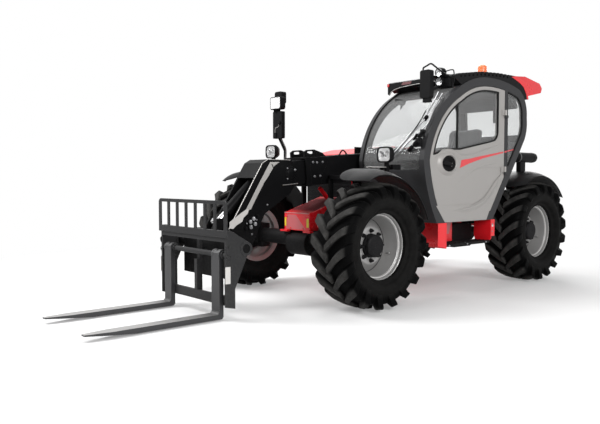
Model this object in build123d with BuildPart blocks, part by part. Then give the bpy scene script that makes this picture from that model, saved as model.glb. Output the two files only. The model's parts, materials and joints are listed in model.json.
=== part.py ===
"""Telehandler: a four-wheel-steer handler with a side cab, a telescopic boom and pallet forks.

Millimetres. +X points forward, +Y to the machine's left and +Z up. The origin lies on the
ground under the middle of the whole outline, so the tyres and the fork heels stand on z = 0.
Lengths written as "ahead" are measured from the front axle, forward positive.
"""
import math
import os

from build123d import *

os.makedirs("parts", exist_ok=True)

# ---------------------------------------------------------------- driving sizes
wheelbase = 2810
rear_overhang = 820
overall_width = 2390

tyre_radius = 605
tyre_width = 470
tyre_floor_radius = 548
tyre_shoulder = 45
tyre_wall_rise = 110
tyre_flats = 20
lug_count = 18
lug_half_width = 18
lug_sweep = 60
lug_draft = 10
lug_root_radius = 470
lug_overlap = 12
lug_end_inset = 26
bead_radius = 305
flange_radius = 343
rim_wall = 12
lip = 10
rim_step_reach = 52
rim_step_drop = 14
dish_radius = 266
rim_inset = 68
disc_reach = 950
disc_thickness = 20
disc_bore = 117
hub_drum_radius = 112
hub_drum_reach = 1040
hub_flange_radius = 172
hub_flange_thickness = 32
spindle_radius = 52

kingpin_reach = 800
kingpin_radius = 32
knuckle_radius = 78
knuckle_height = 190
yoke_ear_thickness = 38
axle_tube_radius = 82
axle_housing_radius = 130
axle_housing_drop = 45
axle_housing_width = 300
steering_arm = 130
steering_rod_radius = 18
steering_rod_eye = 10
steering_rod_rise = 38
steering_barrel_radius = 34
steering_barrel_length = 420

frame_half_width = 200
frame_plate = 20
frame_bottom = 560
frame_top = 980
nose_reach = 100
nose_height = 180
nose_bottom = 700

boom_pivot_ahead = -2950
boom_pivot_height = 1545
boom_droop = 4.36
boom_height = 285
boom_width = 320
boom_wall = 10
boom_length = 3070
boom_tail = 190
inner_height = 241
inner_width = 276
inner_wall = 9
inner_tail = 2480
pad_length = 160
boom_pin_radius = 45
boom_boss_radius = 95

head_half_width = 150
head_plate = 22
head_pin_forward = 858.9
head_pin_height = 586
head_pin_radius = 35
head_boss_radius = 88
head_tube_radius = 58

fork_length = 1200
fork_width = 120
fork_thickness = 45
fork_spread = 826
fork_ground_gap = 10
fork_tip_thickness = 12
carriage_stand = 385
coupler_stand = 220
boss_stand = 200
boss_rise = 38
carriage_half_width = 560
carriage_plate = 25
fork_shaft_height = 575
fork_shaft_radius = 24
rail_bottom = 690
rail_front = 30
rail_top = 790
backrest_top = 1050
backrest_half_width = 585
backrest_bar = 12
backrest_post = 50
backrest_rail = 32
backrest_bars = 8

cab_left = 1100
cab_right = 212
cab_wall = 45
cab_floor = 786
roof_height = 2425
frame_band = 92
door_gap = 6
door_thickness = 40
door_belt = 1550
window_rim = 42
window_corner = 110
handle_radius = 92
handle_depth = 22
press_depth = 5
roof_rib_pitch = 74
roof_rib_gap = 32
roof_rib_depth = 42
roof_rib_gaps = 13
glass_thickness = 6
door_hinge_ahead = -2066
hinge_radius = 13
hinge_pin_radius = 7

fender_radius = 735
fender_thickness = 8
fender_inner_reach = 690
fender_crown_reach = 990
fender_outer_reach = 1150

lift_base_ahead = -2450
lift_base_height = 700
lift_lug_along = 1750
lift_lug_drop = 100
lift_barrel_radius = 62
lift_rod_radius = 38
tilt_base_forward = 508.9
tilt_base_drop = 46.6
tilt_lug_forward = 135
tilt_lug_rise = 236
tilt_barrel_radius = 48
tilt_rod_radius = 28
cylinder_pin_radius = 25

hood_front_ahead = -960
hood_rear_ahead = -2110
hood_inner_reach = 232
hood_outer_reach = 1020
hood_bottom = 800
hood_top = 1640
hood_panel = 10
tray_height = 620
tow_pin_radius = 16

pin_clearance = 0.4
seat_clearance = 0.3
slide_clearance = 0.5

# ---------------------------------------------------------------- derived stations
mouth_ahead = boom_pivot_ahead + boom_length * math.cos(math.radians(boom_droop))
mouth_height = boom_pivot_height - boom_length * math.sin(math.radians(boom_droop))
head_pin_ahead = mouth_ahead + head_pin_forward
tilt_base_ahead = mouth_ahead + tilt_base_forward
tilt_base_height = mouth_height - tilt_base_drop
tilt_lug_ahead = head_pin_ahead + tilt_lug_forward
tilt_lug_height = head_pin_height + tilt_lug_rise
carriage_reach = head_pin_ahead + carriage_stand
fork_reach = carriage_reach + fork_thickness + fork_length
overall_length = fork_reach + wheelbase + rear_overhang
front_axle_x = overall_length / 2 - fork_reach
rear_axle_x = front_axle_x - wheelbase
hub_height = tyre_radius
tyre_outer_reach = overall_width / 2
tyre_inner_reach = tyre_outer_reach - tyre_width
rim_outer_reach = tyre_outer_reach - rim_inset
rim_inner_reach = tyre_inner_reach + rim_inset

sides = (("left", 1), ("right", -1))
axles = (("front", front_axle_x, -1), ("rear", rear_axle_x, 1))


def at(ahead, height):
    """Turn a distance ahead of the front axle and a height into an X and Z pair."""
    return (front_axle_x + ahead, height)


def side_plane(reach):
    """Return the upright plane at one Y, drawn in X and Z."""
    return Plane.XZ.offset(-reach)


def slab(x, y, z, mode=Mode.ADD):
    """Add a square-edged block between two X, two Y and two Z values."""
    with Locations(((x[0] + x[1]) / 2, (y[0] + y[1]) / 2, (z[0] + z[1]) / 2)):
        Box(abs(x[1] - x[0]), abs(y[1] - y[0]), abs(z[1] - z[0]), mode=mode)


def panel(x, y, z, corner):
    """Add a plate facing forward between two X, two Y and two Z values, with rounded corners."""
    with BuildSketch(Plane.YZ.offset(x[0])) as face:
        with Locations(((y[0] + y[1]) / 2, (z[0] + z[1]) / 2)):
            RectangleRounded(y[1] - y[0], z[1] - z[0], corner)
    extrude(face.sketch, amount=x[1] - x[0])


def side_plate(points, low, high, mode=Mode.ADD):
    """Add a plate with an X and Z outline between two Y values."""
    with BuildSketch(side_plane(high)) as outline:
        with BuildLine():
            Polyline(*points, close=True)
        make_face()
    extrude(outline.sketch, amount=high - low, mode=mode)


def bar(start, end, radius, mode=Mode.ADD):
    """Add a round bar from one point to another."""
    run = Vector(*end) - Vector(*start)
    with BuildSketch(Plane(origin=start, z_dir=tuple(run))) as disc:
        Circle(radius)
    extrude(disc.sketch, amount=run.length, mode=mode)


def cross_bar(ahead_height, low, high, radius, mode=Mode.ADD):
    """Add a round bar along Y at one X and Z, between two Y values."""
    x, z = ahead_height
    bar((x, low, z), (x, high, z), radius, mode)


def wheel_section(axle_x, side):
    """Return the half-section plane of a wheel: local x runs outward, local y is the radius."""
    return Plane(origin=(axle_x, 0, hub_height), x_dir=(0, side, 0), z_dir=(side, 0, 0))


def half_section(points):
    """Fill a closed outline of (reach, radius) points in the sketch of a wheel's section."""
    with BuildLine() as outline:
        Polyline(*points, close=True)
    make_face(outline.edges())


def finish(part, name):
    """Label a finished piece and write it."""
    part.label = name
    export_step(part, f"parts/{name}.step")


# ================================================================ wheels
lug_corner = lug_sweep + lug_half_width
lug_top = math.sqrt(tyre_radius ** 2 - lug_corner ** 2)
lug_pitch = 360 / lug_count
# a lug's corner points straight down, so that the tyre stands on it
lug_phase = 180 + math.degrees(math.atan(lug_corner / lug_top))
tyre_middle = (tyre_inner_reach + tyre_outer_reach) / 2
carcass_sections = (   # (reach, radius over the flats) from the inner bead to the outer one
    (rim_inner_reach - 12, flange_radius + 8),
    (tyre_inner_reach, flange_radius + tyre_wall_rise),
    (tyre_inner_reach + tyre_shoulder, tyre_floor_radius),
    (tyre_outer_reach - tyre_shoulder, tyre_floor_radius),
    (tyre_outer_reach, flange_radius + tyre_wall_rise),
    (rim_outer_reach + 12, flange_radius + 8),
)
bead_edge = lip + 9
tyre_bores = (   # (from reach, to reach, radius over the flats) of the steps inside the tyre
    (rim_inner_reach - 13, rim_inner_reach + bead_edge, flange_radius + 2),
    (rim_inner_reach + bead_edge - 1, rim_outer_reach - bead_edge + 1, bead_radius + seat_clearance),
    (rim_outer_reach - bead_edge, rim_outer_reach + 13, flange_radius + 2),
)


def wheel_face(axle_x, side, reach):
    """Return the plane across a wheel at one reach, facing outward."""
    return Plane(origin=(axle_x, side * reach, hub_height), x_dir=(1, 0, 0), z_dir=(0, side, 0))


def lug_planes(axle_x, phase):
    """Return the tangent planes of one row of lugs, facing the axle, local x backward at the top."""
    planes = []
    for index in range(lug_count):
        turn = math.radians(phase + index * lug_pitch)
        up, along = math.cos(turn), math.sin(turn)
        planes.append(Plane(origin=(axle_x + lug_top * along, 0, hub_height + lug_top * up),
                            x_dir=(-up, 0, along), z_dir=(-along, 0, -up)))
    return planes


for end, axle_x, rod_side in axles:
    axle_line = Axis((axle_x, 0, hub_height), (0, 1, 0))
    for side_name, side in sides:
        with BuildPart() as tyre:
            for reach, radius in carcass_sections:
                with BuildSketch(wheel_face(axle_x, side, reach)):
                    RegularPolygon(radius, tyre_flats, major_radius=False)
            loft(ruled=True)
            for start, stop, radius in tyre_bores:
                with BuildSketch(wheel_face(axle_x, side, start)):
                    RegularPolygon(radius, tyre_flats, major_radius=False)
                extrude(amount=stop - start, mode=Mode.SUBTRACT)
            # two staggered rows of lugs whose inner ends lead
            for row, stagger in ((1, 0), (-1, lug_pitch / 2)):
                inner_y = side * (tyre_middle - row * lug_overlap)
                outer_y = side * (tyre_middle + row * (tyre_width / 2 - lug_end_inset))
                with BuildSketch(*lug_planes(axle_x, lug_phase + stagger)):
                    with BuildLine():
                        Polyline((-lug_sweep - lug_half_width, inner_y),
                                 (-lug_sweep + lug_half_width, inner_y),
                                 (lug_sweep + lug_half_width, outer_y),
                                 (lug_sweep - lug_half_width, outer_y), close=True)
                    make_face()
                extrude(amount=lug_top - lug_root_radius, taper=-lug_draft)
        finish(tyre.part, f"tyre_{end}_{side_name}")

        with BuildPart() as rim:
            with BuildSketch(wheel_section(axle_x, side)):
                half_section((
                    (rim_inner_reach, flange_radius),
                    (rim_inner_reach + lip, flange_radius),
                    (rim_inner_reach + lip + 8, bead_radius),
                    (rim_outer_reach - lip - 8, bead_radius),
                    (rim_outer_reach - lip, flange_radius),
                    (rim_outer_reach, flange_radius),
                    (rim_outer_reach - 8, bead_radius - rim_wall),
                    (rim_outer_reach - rim_step_reach, bead_radius - rim_wall),
                    (rim_outer_reach - rim_step_reach - 8, bead_radius - rim_wall - rim_step_drop),
                    (disc_reach + 44, bead_radius - rim_wall - rim_step_drop),
                    (disc_reach + 32, dish_radius),
                    (disc_reach, hub_flange_radius + 14),
                    (disc_reach, disc_bore),
                    (disc_reach - disc_thickness, disc_bore),
                    (disc_reach - disc_thickness, hub_flange_radius + 20),
                    (disc_reach + 10, dish_radius + 14),
                    (rim_inner_reach + 8, bead_radius - rim_wall),
                ))
            revolve(axis=axle_line)
        finish(rim.part, f"rim_{end}_{side_name}")

        with BuildPart() as hub:
            flange_outer = disc_reach - disc_thickness - seat_clearance
            with BuildSketch(wheel_section(axle_x, side)):
                half_section((
                    (flange_outer - hub_flange_thickness, spindle_radius + pin_clearance),
                    (flange_outer - hub_flange_thickness, hub_flange_radius),
                    (flange_outer, hub_flange_radius),
                    (flange_outer, hub_drum_radius),
                    (hub_drum_reach - 12, hub_drum_radius),
                    (hub_drum_reach, hub_drum_radius - 12),
                    (hub_drum_reach, 0),
                    (hub_drum_reach - 40, 0),
                    (hub_drum_reach - 40, spindle_radius + pin_clearance),
                ))
            revolve(axis=axle_line)
        finish(hub.part, f"hub_{end}_{side_name}")

        # ---- steering knuckle: trunnion body, spindle and steering arm
        kingpin_y = side * kingpin_reach
        with BuildPart() as knuckle:
            spindle_end = hub_drum_reach - 40 - seat_clearance
            half = knuckle_height / 2
            ear = yoke_ear_thickness + seat_clearance
            bar((axle_x, kingpin_y, hub_height - half), (axle_x, kingpin_y, hub_height + half),
                knuckle_radius)
            bar((axle_x, kingpin_y, hub_height - half - ear), (axle_x, kingpin_y, hub_height + half + ear),
                kingpin_radius)
            bar((axle_x, kingpin_y, hub_height), (axle_x, side * spindle_end, hub_height), spindle_radius)
            arm_x = axle_x + rod_side * steering_arm
            slab((axle_x, arm_x + rod_side * 22), (kingpin_y - side * 50, kingpin_y - side * 22),
                 (hub_height + 8, hub_height + steering_rod_rise - steering_rod_eye - 2))
        finish(knuckle.part, f"knuckle_{end}_{side_name}")

# ================================================================ axles
for end, axle_x, rod_side in axles:
    half = knuckle_height / 2
    ear_low = hub_height - half - seat_clearance - yoke_ear_thickness
    ear_high = hub_height + half + seat_clearance
    rod_x = axle_x + rod_side * steering_arm
    rod_line = (rod_x, hub_height + steering_rod_rise)
    with BuildPart() as axle:
        # housing of the differential, with a beam to each yoke
        with BuildSketch(Plane.XZ.offset(-axle_housing_width / 2)):
            with Locations((axle_x, hub_height - axle_housing_drop)):
                Circle(axle_housing_radius)
        extrude(amount=axle_housing_width)
        cross_bar((axle_x, hub_height), -(kingpin_reach - 140), kingpin_reach - 140, axle_tube_radius)
        for side_name, side in sides:
            kingpin_y = side * kingpin_reach
            root_y = side * (kingpin_reach - 140)
            slab((axle_x - 60, axle_x + 60), (root_y, root_y + side * 40),
                 (ear_low, ear_high + yoke_ear_thickness))
            for low in (ear_low, ear_high):
                slab((axle_x - 60, axle_x + 60), (root_y, kingpin_y), (low, low + yoke_ear_thickness))
                bar((axle_x, kingpin_y, low), (axle_x, kingpin_y, low + yoke_ear_thickness), 60)
                bar((axle_x, kingpin_y, low), (axle_x, kingpin_y, low + yoke_ear_thickness),
                    kingpin_radius + pin_clearance, Mode.SUBTRACT)
            # saddle that carries the frame
            slab((axle_x - 75, axle_x + 75),
                 (side * (frame_half_width - 60), side * (frame_half_width + 40)),
                 (hub_height + 40, nose_bottom - seat_clearance))
        # steering cylinder across the beam, bored for its rod
        cross_bar(rod_line, -steering_barrel_length / 2, steering_barrel_length / 2, steering_barrel_radius)
        slab((axle_x, rod_x), (-30, 30), (hub_height + 20, hub_height + 56))
        cross_bar(rod_line, -steering_barrel_length / 2, steering_barrel_length / 2,
                  steering_rod_radius + pin_clearance, Mode.SUBTRACT)
    finish(axle.part, f"{end}_axle")

    with BuildPart() as steering_rod:
        eye_reach = kingpin_reach - 42
        cross_bar(rod_line, -eye_reach, eye_reach, steering_rod_eye)
        cross_bar(rod_line, -(eye_reach - 130), eye_reach - 130, steering_rod_radius)
    finish(steering_rod.part, f"{end}_steering_rod")

# ================================================================ chassis frame
tower_top = boom_pivot_height + boom_boss_radius + 20
tail_ahead = -wheelbase - rear_overhang
frame_tail = tail_ahead + 230
jaw_low = 600
frame_profile = (   # (ahead, height) around one side plate
    (nose_reach, nose_bottom), (nose_reach, nose_bottom + nose_height),
    (-420, 1040), (-640, frame_top), (-2550, frame_top), (-2780, tower_top),
    (-3090, tower_top), (-3230, 1080), (frame_tail, 1000), (frame_tail, frame_bottom + 60),
    (-3120, frame_bottom + 60), (-3060, nose_bottom), (-2560, nose_bottom), (-2460, frame_bottom),
    (-360, frame_bottom), (-280, nose_bottom),
)
pivot_x, pivot_z = at(boom_pivot_ahead, boom_pivot_height)
lift_base = at(lift_base_ahead, lift_base_height)

with BuildPart() as chassis_frame:
    for side_name, side in sides:
        outer = side * frame_half_width
        inner = side * (frame_half_width - frame_plate)
        side_plate([at(*p) for p in frame_profile], min(inner, outer), max(inner, outer))
    clear = frame_half_width - frame_plate
    # nose: front wall, sloped lid, floor and the middle and tail cross walls
    side_plate([at(nose_reach, nose_bottom), at(nose_reach, nose_bottom + nose_height),
                at(nose_reach - 20, nose_bottom + nose_height), at(nose_reach - 20, nose_bottom)],
               -clear, clear)
    side_plate([at(nose_reach, nose_bottom + nose_height), at(-420, 1040), at(-420, 1025),
                at(nose_reach - 20, nose_bottom + nose_height - 20)], -clear, clear)
    side_plate([at(-420, 1040), at(-640, frame_top), at(-640, frame_top - 15), at(-420, 1025)],
               -clear, clear)
    slab((front_axle_x - 280, front_axle_x + nose_reach), (-clear, clear), (nose_bottom, nose_bottom + 15))
    slab((front_axle_x - 2460, front_axle_x - 360), (-clear, clear), (frame_bottom, frame_bottom + 15))
    slab((front_axle_x - 655, front_axle_x - 640), (-clear, clear), (frame_bottom, frame_top))
    slab((front_axle_x - 3120, front_axle_x - 2520), (-clear, clear), (nose_bottom, nose_bottom + 15))
    slab((front_axle_x + frame_tail, front_axle_x + frame_tail + 20), (-clear, clear),
         (frame_bottom + 60, 1000))
    # boom pivot: bosses outside the tower plates and the pin between them
    for side_name, side in sides:
        cross_bar((pivot_x, pivot_z), side * (clear - 12), side * (frame_half_width + 18), boom_boss_radius)
    cross_bar((pivot_x, pivot_z), -frame_half_width - 25, frame_half_width + 25, boom_pin_radius)
    # lift cylinder pin between two lugs on the floor
    for side_name, side in sides:
        side_plate([at(lift_base_ahead - 80, frame_bottom), at(lift_base_ahead + 90, frame_bottom),
                    at(lift_base_ahead + 45, lift_base_height + 50),
                    at(lift_base_ahead - 45, lift_base_height + 50)],
                   min(side * 70, side * 95), max(side * 70, side * 95))
    cross_bar(lift_base, -95, 95, cylinder_pin_radius)
    # outrigger under the cab
    slab((front_axle_x - 1400, front_axle_x - 1006), (clear, 880), (frame_bottom, cab_floor - seat_clearance))
    # feet of the nose beside the axle's saddle
    for side_name, side in sides:
        slab((front_axle_x + 80, front_axle_x + nose_reach + 30),
             (side * (frame_half_width - 70), side * (frame_half_width + 40)), (nose_bottom - 18, nose_bottom))
    # safety strut stowed on the nose
    strut_low = (front_axle_x - 356, 0, 1020)
    strut_high = (front_axle_x - 228, 0, 1140)
    bar(strut_low, strut_high, 24)
finish(chassis_frame.part, "chassis_frame")

# ================================================================ boom
class BoomLine:
    """Places along the boom: s runs forward from the pivot, t runs up from the centre line."""

    angle = math.radians(boom_droop)

    @classmethod
    def plane(cls, reach):
        """Return the side plane of the boom at one Y."""
        run = (math.cos(cls.angle), 0, -math.sin(cls.angle))
        return Plane(origin=(pivot_x, reach, pivot_z), x_dir=run, z_dir=(0, -1, 0))

    @classmethod
    def point(cls, s, t):
        """Return the X and Z of a place on the boom."""
        return (pivot_x + s * math.cos(cls.angle) + t * math.sin(cls.angle),
                pivot_z - s * math.sin(cls.angle) + t * math.cos(cls.angle))


def boom_block(s, y, t, mode=Mode.ADD):
    """Add a block in the boom's line between two s, two Y and two t values."""
    with BuildSketch(BoomLine.plane(y[1])) as outline:
        with Locations(((s[0] + s[1]) / 2, (t[0] + t[1]) / 2)):
            Rectangle(abs(s[1] - s[0]), abs(t[1] - t[0]))
    extrude(outline.sketch, amount=abs(y[1] - y[0]), mode=mode)


half_boom = boom_width / 2
half_inner = inner_width / 2
lug_point = BoomLine.point(lift_lug_along, -boom_height / 2 - lift_lug_drop)

with BuildPart() as boom_outer:
    boom_block((-boom_tail, boom_length), (-half_boom, half_boom), (-boom_height / 2, boom_height / 2))
    boom_block((boom_boss_radius + 40, boom_length),
               (-half_boom + boom_wall, half_boom - boom_wall),
               (-boom_height / 2 + boom_wall, boom_height / 2 - boom_wall), Mode.SUBTRACT)
    # collar round the mouth and the wear pads inside it
    boom_block((boom_length - 60, boom_length), (-half_boom - 8, half_boom + 8),
               (-boom_height / 2 - 8, boom_height / 2 + 8))
    boom_block((boom_length - 60, boom_length),
               (-half_boom + boom_wall, half_boom - boom_wall),
               (-boom_height / 2 + boom_wall, boom_height / 2 - boom_wall), Mode.SUBTRACT)
    for pad_s in (boom_length - pad_length,):
        for t_side in (-1, 1):
            pad_in = t_side * (inner_height / 2 + slide_clearance)
            pad_out = t_side * (boom_height / 2 - boom_wall)
            boom_block((pad_s, pad_s + pad_length), (-90, 90), (pad_in, pad_out))
        for y_side in (-1, 1):
            pad_in = y_side * (half_inner + slide_clearance)
            pad_out = y_side * (half_boom - boom_wall)
            boom_block((pad_s, pad_s + pad_length), (min(pad_in, pad_out), max(pad_in, pad_out)), (-60, 60))
    cross_bar((pivot_x, pivot_z), -half_boom, half_boom, boom_pin_radius + pin_clearance, Mode.SUBTRACT)
    # lift cylinder lugs under the boom
    for side_name, side in sides:
        low, high = min(side * 70, side * 95), max(side * 70, side * 95)
        with BuildSketch(BoomLine.plane(high)):
            with BuildLine():
                Polyline((lift_lug_along - 150, -boom_height / 2), (lift_lug_along + 150, -boom_height / 2),
                         (lift_lug_along + 48, -boom_height / 2 - lift_lug_drop - 45),
                         (lift_lug_along - 48, -boom_height / 2 - lift_lug_drop - 45), close=True)
            make_face()
        extrude(amount=high - low)
        # lifting eyes on top, each with a slot
        low, high = min(side * 96, side * 116), max(side * 96, side * 116)
        with BuildSketch(BoomLine.plane(high)):
            with BuildLine():
                Polyline((boom_length - 330, boom_height / 2), (boom_length - 30, boom_height / 2),
                         (boom_length - 30, boom_height / 2 + 62), (boom_length - 70, boom_height / 2 + 82),
                         (boom_length - 170, boom_height / 2 + 82), (boom_length - 290, boom_height / 2 + 40),
                         close=True)
            make_face()
            with Locations((boom_length - 115, boom_height / 2 + 52)):
                SlotOverall(90, 26, mode=Mode.SUBTRACT)
        extrude(amount=high - low)
finish(boom_outer.part, "boom_outer")

def from_mouth(ahead, up):
    """Give the X and Z of a place measured from the middle of the boom's mouth."""
    return at(mouth_ahead + ahead, mouth_height + up)


def from_pin(ahead, up):
    """Give the X and Z of a place measured from the head pin."""
    return at(head_pin_ahead + ahead, head_pin_height + up)


head_outline = (   # around the drop head, from its top root forward
    from_mouth(189, 120), from_mouth(489, 120), from_mouth(557, 83), from_pin(98, 179), from_pin(92, -26),
    from_pin(15, -90), from_pin(-102, -100), from_pin(-170, 14), from_mouth(529, -412),
    from_mouth(209, -220), from_mouth(129, -124),
)
head_pin = at(head_pin_ahead, head_pin_height)
tilt_base = at(tilt_base_ahead, tilt_base_height)
inner_start = boom_length - inner_tail
inner_end = boom_length + 260

with BuildPart() as boom_inner:
    boom_block((inner_start, inner_end), (-half_inner, half_inner), (-inner_height / 2, inner_height / 2))
    boom_block((inner_start, inner_end - 20), (-half_inner + inner_wall, half_inner - inner_wall),
               (-inner_height / 2 + inner_wall, inner_height / 2 - inner_wall), Mode.SUBTRACT)
    # rear wear pads ride inside the outer box
    for t_side in (-1, 1):
        pad_in = t_side * (inner_height / 2)
        pad_out = t_side * (boom_height / 2 - boom_wall - slide_clearance)
        boom_block((inner_start, inner_start + pad_length), (-90, 90), (pad_in, pad_out))
    # drop head: two cheeks, a back web, a top web and the pin boss
    for side_name, side in sides:
        low = min(side * head_half_width, side * (head_half_width - head_plate))
        side_plate(head_outline, low, low + head_plate)
    web = head_half_width - head_plate
    side_plate([from_mouth(189, 120), from_mouth(489, 120), from_mouth(557, 83), from_mouth(649, -62),
                from_mouth(631, -72), from_mouth(544, 68), from_mouth(479, 102), from_mouth(189, 102)],
               -web, web)
    side_plate([from_pin(-170, 14), from_mouth(529, -412), from_mouth(209, -220), from_mouth(129, -124),
                from_mouth(151, -120), from_mouth(224, -206), from_mouth(539, -397), from_pin(-152, 21)],
               -web, web)
    cross_bar(head_pin, -web, web, head_tube_radius)
    for side_name, side in sides:
        cross_bar(head_pin, side * web, side * (head_half_width + 12), head_boss_radius)
    cross_bar(head_pin, -head_half_width - 62, head_half_width + 62, head_pin_radius)
    cross_bar(tilt_base, -web, web, cylinder_pin_radius)
finish(boom_inner.part, "boom_inner")


# ================================================================ cylinders
def toward(start, end, distance):
    """Return the X and Z a distance along the line from one X and Z to another."""
    length = math.hypot(end[0] - start[0], end[1] - start[1])
    return (start[0] + (end[0] - start[0]) * distance / length,
            start[1] + (end[1] - start[1]) * distance / length)


def at_y(place, reach=0):
    """Give an X and Z pair its Y."""
    return (place[0], reach, place[1])


# name, fixed pin, rod pin, barrel radius, rod radius, eye half width, gland share, room behind the rod
cylinders = (
    ("lift", lift_base, lug_point, lift_barrel_radius, lift_rod_radius, 55, 0.82, 7),
    ("tilt", tilt_base, at(tilt_lug_ahead, tilt_lug_height), tilt_barrel_radius, tilt_rod_radius, 40, 0.78, 68),
)
for name, base, eye, barrel_radius, rod_radius, eye_half, gland_share, rod_room in cylinders:
    length = math.hypot(eye[0] - base[0], eye[1] - base[1])
    gland = toward(base, eye, length * gland_share)
    eye_radius = barrel_radius * 0.86
    bore_depth = eye_radius + 12
    with BuildPart() as barrel:
        bar(at_y(toward(base, eye, barrel_radius * 0.5)), at_y(gland), barrel_radius)
        bar(at_y(toward(base, eye, length * gland_share - 50)), at_y(gland), barrel_radius + 8)
        cross_bar(base, -eye_half, eye_half, eye_radius)
        bar(at_y(toward(base, eye, bore_depth)), at_y(eye), rod_radius + pin_clearance, Mode.SUBTRACT)
        cross_bar(base, -2 * eye_half, 2 * eye_half, cylinder_pin_radius + pin_clearance, Mode.SUBTRACT)
    finish(barrel.part, f"{name}_cylinder_barrel")
    with BuildPart() as rod:
        bar(at_y(toward(base, eye, bore_depth + rod_room)), at_y(eye), rod_radius)
        cross_bar(eye, -eye_half, eye_half, cylinder_pin_radius + 22)
        cross_bar(eye, -eye_half - 8, eye_half + 8, cylinder_pin_radius)
    finish(rod.part, f"{name}_cylinder_rod")

# ================================================================ carriage, coupler and forks
carriage_x = front_axle_x + carriage_reach
shaft = (carriage_x + 2, fork_shaft_height)
boss = from_pin(boss_stand, boss_rise)
side_outline = (   # around one side plate of the carriage
    (carriage_x + rail_front, rail_top), (carriage_x + rail_front, 125), (carriage_x - 65, 105),
    (carriage_x - 65, 280), (boss[0] - 30, boss[1] - 24), (boss[0] - 30, boss[1] + 56),
    (carriage_x - 20, rail_top),
)
with BuildPart() as carriage:
    for side_name, side in sides:
        low = min(side * carriage_half_width, side * (carriage_half_width - carriage_plate))
        side_plate(side_outline, low, low + carriage_plate)
        cross_bar(boss, low - 6, low + carriage_plate + 6, 62)
        cross_bar(boss, low - 6, low + carriage_plate + 6, 42, Mode.SUBTRACT)
    inside = carriage_half_width - carriage_plate
    slab((carriage_x + rail_front - 20, carriage_x + rail_front), (-inside, inside), (rail_bottom, rail_top))
    slab((carriage_x - 30, carriage_x - seat_clearance), (-inside, inside), (130, 215))
    for upright in (-380, 20, 380):
        slab((carriage_x - 30, carriage_x - seat_clearance), (upright - 22, upright + 22), (215, 500))
    slab((carriage_x - 60, carriage_x - 30), (-2, 42), (130, rail_top))
    cross_bar(shaft, -inside, inside, fork_shaft_radius)
finish(carriage.part, "carriage")

fork_bottom = fork_ground_gap
with BuildPart() as forks:
    for side_name, side in sides:
        middle = side * fork_spread / 2
        low = middle - fork_width / 2
        high = middle + fork_width / 2
        heel_x = carriage_x
        face_x = carriage_x + fork_thickness
        tip_x = face_x + fork_length
        # shank and blade in one bent profile, the blade thinning towards its tip
        with BuildSketch(side_plane(high)):
            with BuildLine():
                Polyline((heel_x, fork_bottom + 17), (heel_x, fork_shaft_height + 20),
                         (face_x, fork_shaft_height + 20), (face_x, fork_bottom + fork_thickness + 17),
                         (face_x + 17, fork_bottom + fork_thickness), (tip_x, fork_bottom + fork_thickness),
                         (tip_x, fork_bottom + fork_thickness - fork_tip_thickness),
                         (tip_x - 420, fork_bottom), (heel_x + 17, fork_bottom), close=True)
            make_face()
        extrude(amount=fork_width)
        cross_bar(shaft, low, high, fork_shaft_radius + 20)
        cross_bar(shaft, low, high, fork_shaft_radius + pin_clearance, Mode.SUBTRACT)
        # blade tip narrowed in plan
        for edge, inward in ((low, 1), (high, -1)):
            with BuildSketch(Plane.XY):
                with BuildLine():
                    Polyline((tip_x + 1, edge - inward), (tip_x - 230, edge - inward),
                             (tip_x + 1, edge + inward * 34), close=True)
                make_face()
            extrude(amount=200, mode=Mode.SUBTRACT)
finish(forks.part, "forks")

with BuildPart() as load_backrest:
    plane_low = carriage_x + rail_front
    bar_pitch = (2 * backrest_half_width - backrest_post) / (backrest_bars - 1)
    with BuildSketch(Plane.YZ.offset(plane_low)) as hoop:
        with Locations((0, (rail_top - 60 + backrest_top) / 2)):
            Rectangle(2 * backrest_half_width, backrest_top - rail_top + 60)
        fillet(hoop.vertices().group_by(Axis.Y)[-1], 40)
        with Locations((0, (rail_top + backrest_top - backrest_rail) / 2)):
            with GridLocations(bar_pitch, 0, backrest_bars - 1, 1):
                Rectangle(bar_pitch - 38, backrest_top - backrest_rail - rail_top, mode=Mode.SUBTRACT)
    extrude(amount=backrest_bar)
finish(load_backrest.part, "load_backrest")

coupler_back = head_pin[0] + coupler_stand
tilt_lug = at(tilt_lug_ahead, tilt_lug_height)
with BuildPart() as quick_coupler:
    slab((coupler_back, coupler_back + 22), (-420, 420), (330, 760))
    for side_name, side in sides:
        # cheeks that take the head pin
        gap = head_half_width + 12 + seat_clearance
        low = min(side * gap, side * (gap + 32))
        side_plate([(coupler_back, 380), (head_pin[0] - 30, head_pin_height - 75),
                    (head_pin[0] - 75, head_pin_height), (head_pin[0] - 30, head_pin_height + 75),
                    (coupler_back, 720)], low, low + 32)
        cross_bar(head_pin, low, low + 32, head_pin_radius + pin_clearance, Mode.SUBTRACT)
        # lugs for the tilt rod
        low = min(side * 54, side * 76)
        side_plate([(coupler_back, 700), (tilt_lug[0] - 40, tilt_lug_height - 40),
                    (tilt_lug[0] - 40, tilt_lug_height + 40), (tilt_lug[0] + 40, tilt_lug_height + 45),
                    (coupler_back + 22, 760), (coupler_back + 22, 700)], low, low + 22)
        # outer arms to the carriage bosses
        low = min(side * 395, side * 420)
        side_plate([(coupler_back, 330), (boss[0] - 55, boss[1] - 60), (boss[0] - 55, boss[1] + 60),
                    (coupler_back, 760)], low, low + 25)
    cross_bar(boss, -(carriage_half_width + 4), carriage_half_width + 4, 42 - seat_clearance)
finish(quick_coupler.part, "quick_coupler")

# ================================================================ cab
cab_front_low = at(-839, cab_floor)
cab_front_most = at(-617, 1430)
cab_roof_front = at(-1171, roof_height - 243)
cab_roof_crown = at(-1714, roof_height - 75)
cab_roof_rear = at(-2380, roof_height - 153)
cab_rear_high = at(-2545, roof_height - 465)
cab_rear_low = at(-2500, roof_height - 725)
cab_foot_rear = at(-1852, cab_floor)


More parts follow.
